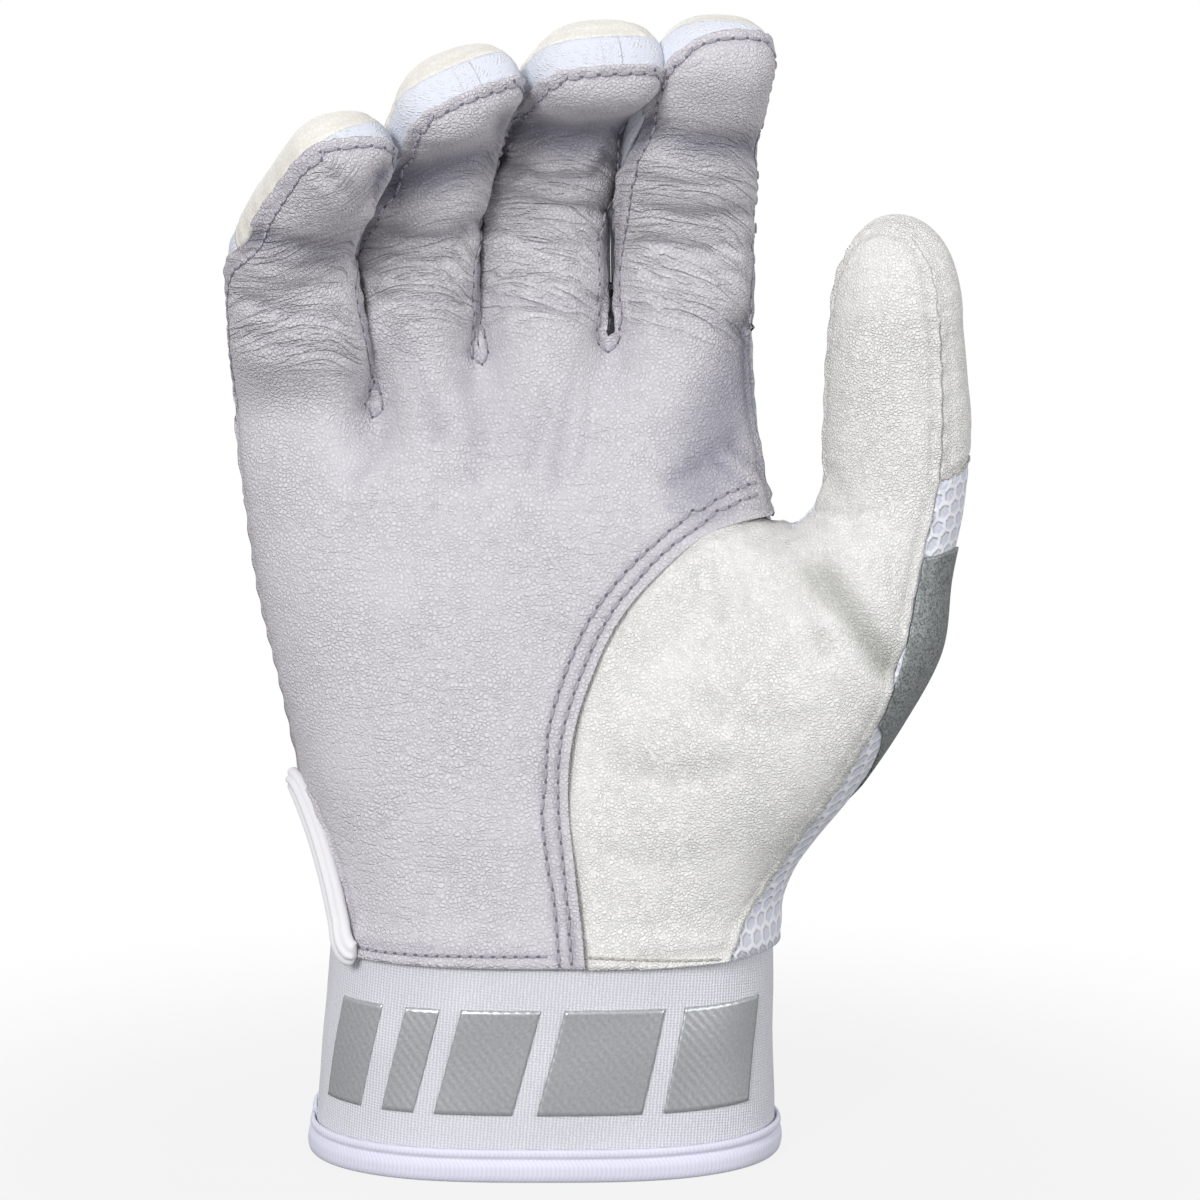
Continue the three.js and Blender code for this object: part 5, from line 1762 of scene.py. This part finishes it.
        Panel("thumb_side_mesh", ("thumb_gusset_mesh",), "mesh_cloth", Finishes.MESH,
              [Sheet(mesh, 60, 72, ALL_ROUND)], self.cloth,
              relief=self.soft_relief(Seed.THUMB_SIDE, True, 0.3)).make()
        Panel("silver_panel", ("silver_overlay",), "silver_glitter", Finishes.GLITTER,
              [Sheet(self.lifted(silver, self.film_lift), 60, 48, SIDES)], self.film,
              relief=self.soft_relief(Seed.THUMB_SIDE, False, 0.0)).make()

    def sew_rows(self) -> None:
        """Rows of stitches of the hand's seams."""
        seam = self.form.palm_seam
        rows: list[StitchRow] = []
        for inset in self.double_row:
            share = np.linspace(*self.seam_row_span)
            way = seam.tangent(share)
            rise = inset + self.seam_row_swerve * risen(share, self.seam_row_turn)
            flat = seam.at_share(share) - stack(way[..., 1], -way[..., 0]) * rise[:, None]
            z = flat[:, 1] - self.hem_overlap * ease(1 - (flat[:, 1] - self.form.cuff_height) / self.hem_reach)
            y = self.form.skin(flat[:, 0], flat[:, 1], 1) - 1
            rows.append(StitchRow(stack(flat[:, 0], y, z)))
        self.sew("thumb_seam_stitches", ("seam_thread_1", "seam_thread_2"), rows, self.palm)
        across = np.linspace(*self.palm_hem_span)
        hem = self.palm_patch(across, np.full_like(across, 0.018))
        self.sew("palm_hem_stitches", ("palm_hem_thread",),
                 [StitchRow(hem + (0, -self.hem_row_out, -self.hem_overlap), self.hem_pitch)], self.palm)
        for place, finger in enumerate(self.fingers):
            surface = finger.sheet(1)
            across = np.linspace(*self.tip_row_span)
            level = 1 - finger.tip_share * LEATHER_EDGE.inset / (finger.tip * 1.35)
            self.sew(f"tip_stitches_{finger.name}", (f"tip_thread_{finger.name}",),
                     [StitchRow(surface(across, np.full_like(across, level)))], self.palm)
        self.sew("slot_stitches", (), [self.slot_row(place) for place in range(len(self.form.webs))], self.palm)
        self.sew("side_stitches", (), self.side_rows(), self.palm)
        across = np.linspace(*self.thumb_hem_span)
        low = self.thumb_rear()(across, np.full_like(across, 0.022))
        self.sew("thumb_hem_stitches", (), [StitchRow(low)], self.thumb_back, True)
        across = np.linspace(*self.thumb_cuff_span)
        low = self.thumb_front()(across, np.full_like(across, 0.012))
        self.sew("thumb_cuff_stitches", (), [StitchRow(low + (0, -self.hem_row_out, -1.7), self.hem_pitch)],
                 self.thumb, True)

    def inset_line(self, finger: FingerForm, right: bool, start: float = 0.02) -> Array:
        """Line beside a finger's seam, from its root to its tip, further in beside an open slit."""
        up = np.linspace(start, self.row_end, 90)
        slit = finger.slits[1 if right else 0]
        further = self.row_inset_slit if slit else self.row_inset_free
        inset = LEATHER_EDGE.inset + further * (1 - risen(up, self.row_inset_span))
        share = inset / (finger.width * finger.width_at(up * self.row_body_share)) * self.row_slope
        return finger.sheet(1)(1 - share if right else share, up)

    def slot_row(self, web: int) -> StitchRow:
        """Row down one side of a finger slot, round its lower end and up the other side."""
        place = self.form.webs[web]
        down = self.inset_line(self.fingers[web], True, 0.05)[::-1]
        up = self.inset_line(self.fingers[web + 1], False, 0.05)
        angle = np.linspace(math.pi, 2 * math.pi, 9)
        across, deep = self.slit_turn if self.fingers[web].slits[1] else self.slot_turn
        x = place[0] + across * np.cos(angle)
        z = place[1] + self.slot_lift + deep * np.sin(angle)
        y = self.form.dented(x, z, 1)
        return StitchRow(np.concatenate([down, stack(x, y, z), up]))

    def side_rows(self) -> list[StitchRow]:
        """Rows up the outer sides of the little finger and the index finger."""
        return [StitchRow(self.inset_line(self.fingers[0], False)),
                StitchRow(self.inset_line(self.fingers[-1], True))]

    def sew(self, name: str, nodes: tuple[str, ...], rows: Sequence[StitchRow], panel: Panel,
            pale: bool = False) -> None:
        """Makes one piece of thread and one of dark spots painted as the needle holes' shade from rows on a panel."""
        threads, hole_shades = bmesh.new(), bmesh.new()
        for row in rows:
            row.sew(panel.skin, threads, hole_shades)
        thread = Finishes.PALE_THREAD if pale else Finishes.THREAD
        hole_shade = Finishes.PALE_HOLE if pale else Finishes.HOLE
        finish_piece(threads, name, thread, nodes, "thread", Body.GLOVE)
        finish_piece(hole_shades, f"{name}_holes", hole_shade, (), "thread", Body.GLOVE)


@dataclass
class Cuff:
    """The cuff: elastic band, its binding, its foil bars, the strap that closes it and the vent's tape."""

    cuff: CuffForm
    patch_turn: float = 44.0
    loop_extra_turn: float = 16.0
    tab_turn: float = 12.0
    strap_edge_turn: float = 2.5
    patch_end_turn: float = 4.0
    loop_end_turn: float = 2.0
    foil_lift: float = 0.3
    foil_thickness: float = 0.25
    wave: float = 0.25
    wave_sink: float = 0.15
    wave_heights: tuple[float, float] = (5.0, 34.0)
    tab_gap_turn: float = 1.0
    bar_starts: tuple[float, ...] = (160, 134, 118, 92, 60)
    bar_widths: tuple[float, ...] = (18, 10, 20, 26, 30)
    bar_slant: float = -6.0
    bar_bottom: float = 12.0
    bar_height: float = 18.6
    tape_width: float = 4.2
    tape_tuck: float = 0.99
    tape_aside: float = 1.7
    tape_proud: float = 1.2
    tape_flat: float = 0.72
    tape_front_out: tuple[float, float, float] = (-0.55, -0.83, 0.0)
    tape_back_out: tuple[float, float, float] = (-0.75, 0.66, 0.0)
    groove_turns: tuple[float, float] = (1.15, 2.0)
    groove_depth: float = 0.3
    groove_width: float = 0.2
    rounded_end: float = 0.05
    foot_lump: float = 0.18
    foot_reach: float = 0.07
    # Places of the tape's lower end beside the band, from its foot up, measured from its first place at the palm
    tape_end: tuple[tuple[float, float, float], ...] = ((3.4, -2.9, -5.6), (2.2, -2.8, -5.2), (1.1, -2.2, -4.0),
                                                        (0.4, -1.2, -2.2))

    @staticmethod
    def flush(turn: Array) -> Array:
        """No lift at any turn."""
        return np.zeros_like(turn)

    def build(self) -> None:
        """Builds every piece of the cuff."""
        cuff, form = self.cuff, self.cuff.form
        edge = cuff.binding_thickness + form.seam_gap
        band = cuff.sheet(cuff.start_turn, cuff.end_turn, edge, form.cuff_height, self.flush)
        Panel("wrist_band", ("cuff_band",), "elastic_band", Finishes.ELASTIC, [Sheet(band, 200, 40, SIDES)],
              cuff.band_thickness, relief=self.stretched()).make()
        tape = cuff.channel(cuff.start_turn, cuff.end_turn, 0, cuff.band_thickness, self.flush)
        Panel("wrist_band_edge", ("cuff_binding",), "edge_binding", Finishes.BINDING, [Sheet(tape, 200, 39, SIDES)],
              cuff.binding_thickness).make()
        self.build_strap(edge)
        for place, start in enumerate(self.bar_starts):
            self.build_bar(place, start)
        self.build_vent_tape()

    def stretched(self) -> Callable[[PanelState], Array]:
        """Relief of stretched elastic: soft waves along it."""
        def relief(state: PanelState) -> Array:
            """Relieved points of the band."""
            z = state.points[:, 2]
            inner = np.sin(math.pi * limit((z - self.wave_heights[0]) / self.wave_heights[1]))
            wave = np.sin(state.points[:, 0] / 6.1 + 1.3 * np.sin(z / 9)) * np.sin(z / 7.5 + state.points[:, 0] / 23)
            return state.points + state.normals * (wave * inner * self.wave - self.wave_sink)[:, None]
        return relief

    def build_strap(self, edge: float) -> None:
        """Strap with its binding, hooks and pull tab, and the loops under it."""
        cuff, form = self.cuff, self.cuff.form
        end, start = 360 + cuff.strap_end_turn, cuff.start_turn + cuff.strap_gap_turn
        bottom, top = cuff.strap_inset + edge + form.seam_gap, form.cuff_height - cuff.strap_top_inset
        lift, closed = cuff.strap_lift_at, cuff.strap_lift()
        patch_bottom = cuff.binding_height + cuff.patch_inset
        patch_top = top - cuff.patch_inset
        patch_end = end - self.patch_end_turn
        surfaces = (
            ("closing_strap", "strap", "elastic_band", Finishes.ELASTIC, 90, 36, cuff.strap_thickness,
             cuff.sheet(end, start, bottom, top, lift)),
            ("closing_strap_edge", "strap_binding", "edge_binding", Finishes.BINDING, 90, 39, cuff.binding_thickness,
             cuff.channel(end, start + self.strap_edge_turn, cuff.strap_inset, cuff.strap_thickness, lift)),
            ("strap_hooks", "hook_patch", "hook_tape", Finishes.HOOKS, 40, 24, cuff.patch_thickness,
             cuff.sheet(patch_end, patch_end - self.patch_turn, patch_bottom, patch_top,
                        lambda turn: np.full_like(turn, closed - cuff.strap_thickness - form.seam_gap))),
            ("strap_tab", "pull_tab", "pull_tab", Finishes.RUBBER, 16, 24, cuff.strap_thickness,
             cuff.sheet(end + self.tab_turn, end + self.tab_gap_turn, patch_bottom, patch_top,
                        lambda turn: np.full_like(turn, closed))),
        )
        for name, node, slot, finish, columns, rows, thickness, surface in surfaces:
            Panel(name, (node,), slot, finish, [Sheet(surface, columns, rows, SIDES)], thickness,
                  body=Body.STRAP).make()
        loop_end = end - self.loop_end_turn
        loops = cuff.sheet(loop_end, loop_end - self.patch_turn - self.loop_extra_turn, patch_bottom, patch_top,
                           lambda turn: np.full_like(turn, form.seam_gap + cuff.patch_thickness))
        Panel("band_loops", ("loop_patch",), "loop_tape", Finishes.LOOPS, [Sheet(loops, 60, 24, SIDES)],
              cuff.patch_thickness).make()

    def build_bar(self, place: int, start: float) -> None:
        """One slanted bar of foil on the front of the band."""
        def surface(u: Array, v: Array) -> Array:
            """Points at shares across and up the bar."""
            turn = start - self.bar_widths[place] * u + self.bar_slant * v
            return self.cuff.at(turn, self.bar_bottom + self.bar_height * v, self.foil_lift)
        Panel(f"foil_mark_{place + 1}", (f"foil_bar_{place + 1}",), "foil", Finishes.FOIL, [Sheet(surface, 30, 24)],
              self.foil_thickness, relief=self.stretched()).make()

    def build_vent_tape(self) -> None:
        """Rolled tape up beside the palm, over the top of the vent and down beside the back."""
        form = self.cuff.form
        shares = np.linspace(-1, 1, 17)
        side = np.where(shares < 0, 1, -1)
        z = form.cuff_height + self.tape_width + (form.vent_height - self.tape_width) * (1 - shares ** 2)
        draw_in = np.where(shares < 0, form.vent_draw_in, form.vent_back_draw_in) * form.vent_open_at(z)
        edge = form.hand_at(z).left + draw_in
        skin = np.where(side > 0, form.skin(edge, z, 1), form.skin(edge, z, -1))
        y = skin * self.tape_tuck * np.sqrt(np.abs(shares))
        run = stack(edge - self.tape_aside, y - self.tape_proud * side * np.sqrt(np.abs(shares)), z)
        foot = run[0] + np.array(self.tape_end)
        line = SmoothCurve(tuple(map(tuple, np.concatenate([foot, run]))))

        def surface(u: Array, v: Array) -> Array:
            """Points round and along the tape, flattened, with the two grooves where it is rolled over."""
            centre, ahead = line.at_share(v), line.tangent(v)
            out = stack(*self.tape_front_out) + 0 * ahead
            out = mix(out, stack(*self.tape_back_out) + 0 * ahead, ease((v - 0.5) / 0.25)[..., None])
            side_way = unit(np.cross(ahead, out))
            out = np.cross(side_way, ahead)
            angle = 2 * math.pi * u
            near = np.minimum(*(np.abs(angle - groove_turn) for groove_turn in self.groove_turns))
            groove = self.groove_depth * bell(near, self.groove_width)
            past = np.maximum(np.abs(2 * v - 1) - (1 - self.rounded_end), 0)
            ends = np.sqrt(np.maximum(1 - past ** 2 / self.rounded_end ** 2, 0))
            lump = 1 + self.foot_lump * bell(v, self.foot_reach)
            radius = self.tape_width / 2 * (1 - groove) * ends * lump
            return (centre + side_way * (radius * np.cos(angle))[..., None]
                    + out * (radius * self.tape_flat * np.sin(angle))[..., None])

        tape = Panel("vent_tape", ("vent_binding",), "rolled_tape", Finishes.ROLLED, [Sheet(surface, 32, 150)],
                     0.0).make()
        tape.object.modifiers.clear()


@dataclass
class Studio:
    """Plain pale floor, soft lights and the camera at the photograph's viewing angle."""

    plane: ViewPlane
    sensor: float = 36.0
    floor_size: float = 8.0
    soft_light: float = 0.52
    air: str = "#f6f6f8"
    paper: str = "#8e8e8e"
    # Metres from the middle between which the floor turns white, and how white it is at the glove
    paper_fade: tuple[float, float] = (0.07, 0.22)
    paper_white: float = 0.86
    white: tuple[float, float, float, float] = (1.0, 1.0, 1.0, 1.0)
    # Name, place in metres, size in metres and watts of each light
    lights: tuple[tuple[str, tuple[float, float, float], float, float], ...] = (
        ("key", (-0.55, -1.1, 0.6), 0.45, 11.9), ("fill", (1.05, -0.66, 0.3), 1.0, 7.8),
        ("rim", (-0.3, 0.95, 0.7), 0.9, 3.4))
    lit_place: tuple[float, float, float] = (0.0, 0.0, 0.1)

    def build(self) -> None:
        """Builds floor, lights, world and camera."""
        self.build_camera()
        self.build_floor()
        for light in self.lights:
            self.build_light(*light)
        board = Board("studio", "worlds")
        seen = board.put("LightPath")
        rays = board.maths("MAXIMUM", seen.outputs["Is Camera Ray"], seen.outputs["Is Transmission Ray"])
        soft = board.put("Background", {"Strength": self.soft_light, "Color": linear(self.air)})
        white = board.put("Background", {"Color": self.white})
        board.put("OutputWorld", {"Surface": board.put("MixShader", {0: rays, 1: soft, 2: white})})
        bpy.context.scene.world = board.owner

    def build_camera(self) -> None:
        """Camera that sees the glove as the photograph does."""
        shift = Vector(HAND_TO_FRAME)
        data = bpy.data.cameras.new("photograph")
        data.sensor_width = self.sensor
        data.lens = self.plane.focal / (2 * self.plane.middle) * self.sensor
        camera = bpy.data.objects.new("photograph", data)
        camera.location = (Vector(self.plane.camera) + shift) * MM
        ahead = Vector(self.plane.target) - Vector(self.plane.camera)
        camera.rotation_euler = ahead.to_track_quat("-Z", "Y").to_euler()
        bpy.context.collection.objects.link(camera)
        bpy.context.scene.camera = camera
        bpy.context.scene.view_settings.view_transform = "Standard"

    def build_floor(self) -> None:
        """Pale floor that the camera sees nearly white, with the glove's soft shadow."""
        mesh = bmesh.new()
        bmesh.ops.create_grid(mesh, x_segments=4, y_segments=4, size=self.floor_size / 2)
        data = bpy.data.meshes.new("studio_floor")
        mesh.to_mesh(data)
        mesh.free()
        board = Board("studio_paper")
        seen = board.put("LightPath")
        reach = board.vectors("LENGTH", board.place("Object")).outputs["Value"]
        share = board.ramp(reach, *self.paper_fade, self.paper_white, 1.0, True)
        rays = board.maths("MULTIPLY", seen.outputs["Is Camera Ray"], share)
        paper = board.put("BsdfDiffuse", {"Color": linear(self.paper)})
        white = board.put("Emission", {"Color": self.white, "Strength": 1.0})
        board.put("OutputMaterial", {"Surface": board.put("MixShader", {0: rays, 1: paper, 2: white})})
        data.materials.append(board.owner)
        floor = bpy.data.objects.new("studio_floor", data)
        bpy.context.collection.objects.link(floor)

    def build_light(self, name: str, place: tuple[float, float, float], size: float, power: float) -> None:
        """A soft square light that faces the middle of the glove."""
        data = bpy.data.lights.new(name, "AREA")
        data.size = size
        data.energy = power
        light = bpy.data.objects.new(name, data)
        light.location = place
        light.rotation_euler = (Vector(self.lit_place) - Vector(place)).to_track_quat("-Z", "Y").to_euler()
        bpy.context.collection.objects.link(light)


PALM_FOLDS = (
    # Little finger: its joint and the soft creases below it
    Fold(((243, 238), (282, 248), (322, 254), (362, 241)), 1.6, 2.6, 1.0),
    Fold(((262, 264), (300, 270), (345, 264)), 0.7, 1.1, 1.0),
    Fold(((243, 300), (286, 312), (330, 322)), 0.7, 1.4, 1.0),
    Fold(((240, 330), (290, 348), (345, 352)), 0.5, 1.6, 1.0),
    Fold(((330, 178), (360, 200), (388, 196)), 0.8, 2.0, 1.0),
    # Ring finger: the bulge of its last part, its joint and the creases below
    Fold(((392, 184), (430, 182), (480, 164)), 2.8, 4.2, 0.6),
    Fold(((372, 226), (410, 240), (450, 238), (480, 224)), 1.3, 1.6, 1.0),
    Fold(((371, 250), (415, 262), (460, 258)), 0.7, 1.1, 1.0),
    Fold(((374, 270), (410, 284), (440, 280)), 0.5, 0.9, 1.0),
    Fold(((378, 292), (420, 304), (470, 298)), 0.7, 1.3, 1.0),
    # Middle finger: the bulge of its last part, its joint and the creases below
    Fold(((512, 132), (570, 146), (620, 140)), 2.8, 4.4, 0.6),
    Fold(((498, 160), (544, 184), (592, 180), (611, 163)), 1.3, 1.6, 1.0),
    Fold(((498, 190), (560, 206), (604, 212)), 0.9, 1.2, 1.0),
    Fold(((492, 232), (540, 244), (598, 240)), 0.5, 1.2, 1.0),
    Fold(((488, 272), (530, 280), (570, 276)), 0.4, 1.0, 1.0),
    Fold(((488, 298), (540, 306), (598, 300)), 0.6, 1.5, 1.0),
    # Index finger: its joints
    Fold(((650, 128), (690, 146), (750, 150)), 2.0, 3.6, 0.8),
    Fold(((640, 176), (690, 184), (748, 180)), 0.5, 1.0, 1.0),
    Fold(((648, 210), (691, 217), (748, 214)), 0.9, 1.3, 1.0),
    Fold(((640, 240), (700, 250), (748, 246)), 0.7, 1.2, 1.0),
    Fold(((640, 268), (690, 276), (730, 274)), 0.4, 0.9, 1.0),
    Fold(((634, 302), (690, 312), (744, 330)), 0.7, 1.6, 1.0),
    # Soft folds down the palm from the webs and across the ball of the thumb
    Fold(((575, 372), (560, 430), (552, 490)), 0.6, 1.8),
    Fold(((440, 424), (560, 446), (690, 420)), 0.4, 9.0),
    Fold(((592, 376), (582, 440), (574, 480)), 0.45, 1.1),
    Fold(((560, 366), (540, 420), (528, 470)), 0.4, 1.2),
    Fold(((470, 380), (478, 430), (470, 480)), 0.4, 2.0),
    Fold(((384, 430), (372, 460), (352, 480)), 0.5, 1.8),
    Fold(((395, 330), (420, 380), (440, 430)), 0.6, 2.2),
    Fold(((756, 350), (732, 420), (704, 484)), 2.0, 8.5),
    Fold(((738, 436), (700, 462), (672, 480)), 0.6, 1.8),
    Fold(((738, 448), (762, 468), (780, 500)), 0.8, 1.3),
    Fold(((722, 462), (748, 484), (768, 512)), 0.6, 1.2),
)
THUMB_FOLDS = (
    Fold(((796, 540), (836, 592), (888, 664)), 2.4, 3.4),
    Fold(((770, 540), (800, 600), (828, 650)), 1.3, 2.4),
    Fold(((748, 528), (768, 572), (780, 606)), 0.9, 1.7),
    Fold(((726, 536), (742, 580), (748, 612)), 0.7, 1.5),
    Fold(((708, 548), (718, 590), (720, 620)), 0.5, 1.4),
    Fold(((793, 532), (804, 566), (822, 604)), 0.9, 1.5),
    Fold(((830, 470), (846, 500), (850, 540)), 0.5, 1.8),
    Fold(((620, 760), (670, 775), (722, 768)), 0.7, 3.0),
    Fold(((700, 700), (750, 720), (800, 722)), 0.5, 3.4),
    Fold(((610, 850), (660, 862), (720, 850)), 0.4, 3.0),
)


def main() -> None:
    """Builds the glove and its studio."""
    logging.basicConfig(level=logging.INFO, format="%(message)s")
    form = HandForm()
    plane = ViewPlane()
    fingers = [
        FingerForm("pinky", 0, middle_share=-0.449, width=24.6, parts=(44, 17, 19.5), tip=9, bends=(21, 50, 52),
                   leans=(-4.5, 21, 26), twist=28, width_shares=(1, 1, 0.87, 0.8, 0.72), fills=(0.0, 1.1)),
        FingerForm("ring", 1, middle_share=-0.221, width=20.4, parts=(47, 22, 22), tip=8, bends=(8, 41, 66),
                   leans=(-3, 15.5, 12), twist=28, width_shares=(0.863, 0.892, 1, 1.02, 1.05), fills=(1.1, 0.6)),
        FingerForm("middle", 2, middle_share=-0.009, width=22, parts=(52, 22, 22), tip=8, bends=(2, 40, 70),
                   leans=(0, 14, 18), twist=10, width_shares=(0.977, 1, 0.96, 0.955, 0.977), fills=(0.6, 1.2),
                   fill_end=84, slits=(0.0, 15.0)),
        FingerForm("index", 3, middle_share=0.266, width=24, parts=(46, 22, 23), tip=9, bends=(0, 37, 42),
                   leans=(-0.5, 4, 14), twist=14, width_shares=(1.17, 1.01, 0.98, 0.93, 0.78), fills=(1.2, 0.0),
                   fill_end=84, slits=(15.0, 0.0)),
    ]
    Studio(plane).build()
    Hand(form, [finger.lay(form) for finger in fingers], plane).build()
    Cuff(CuffForm(form)).build()


if __name__ == "__main__":
    main()
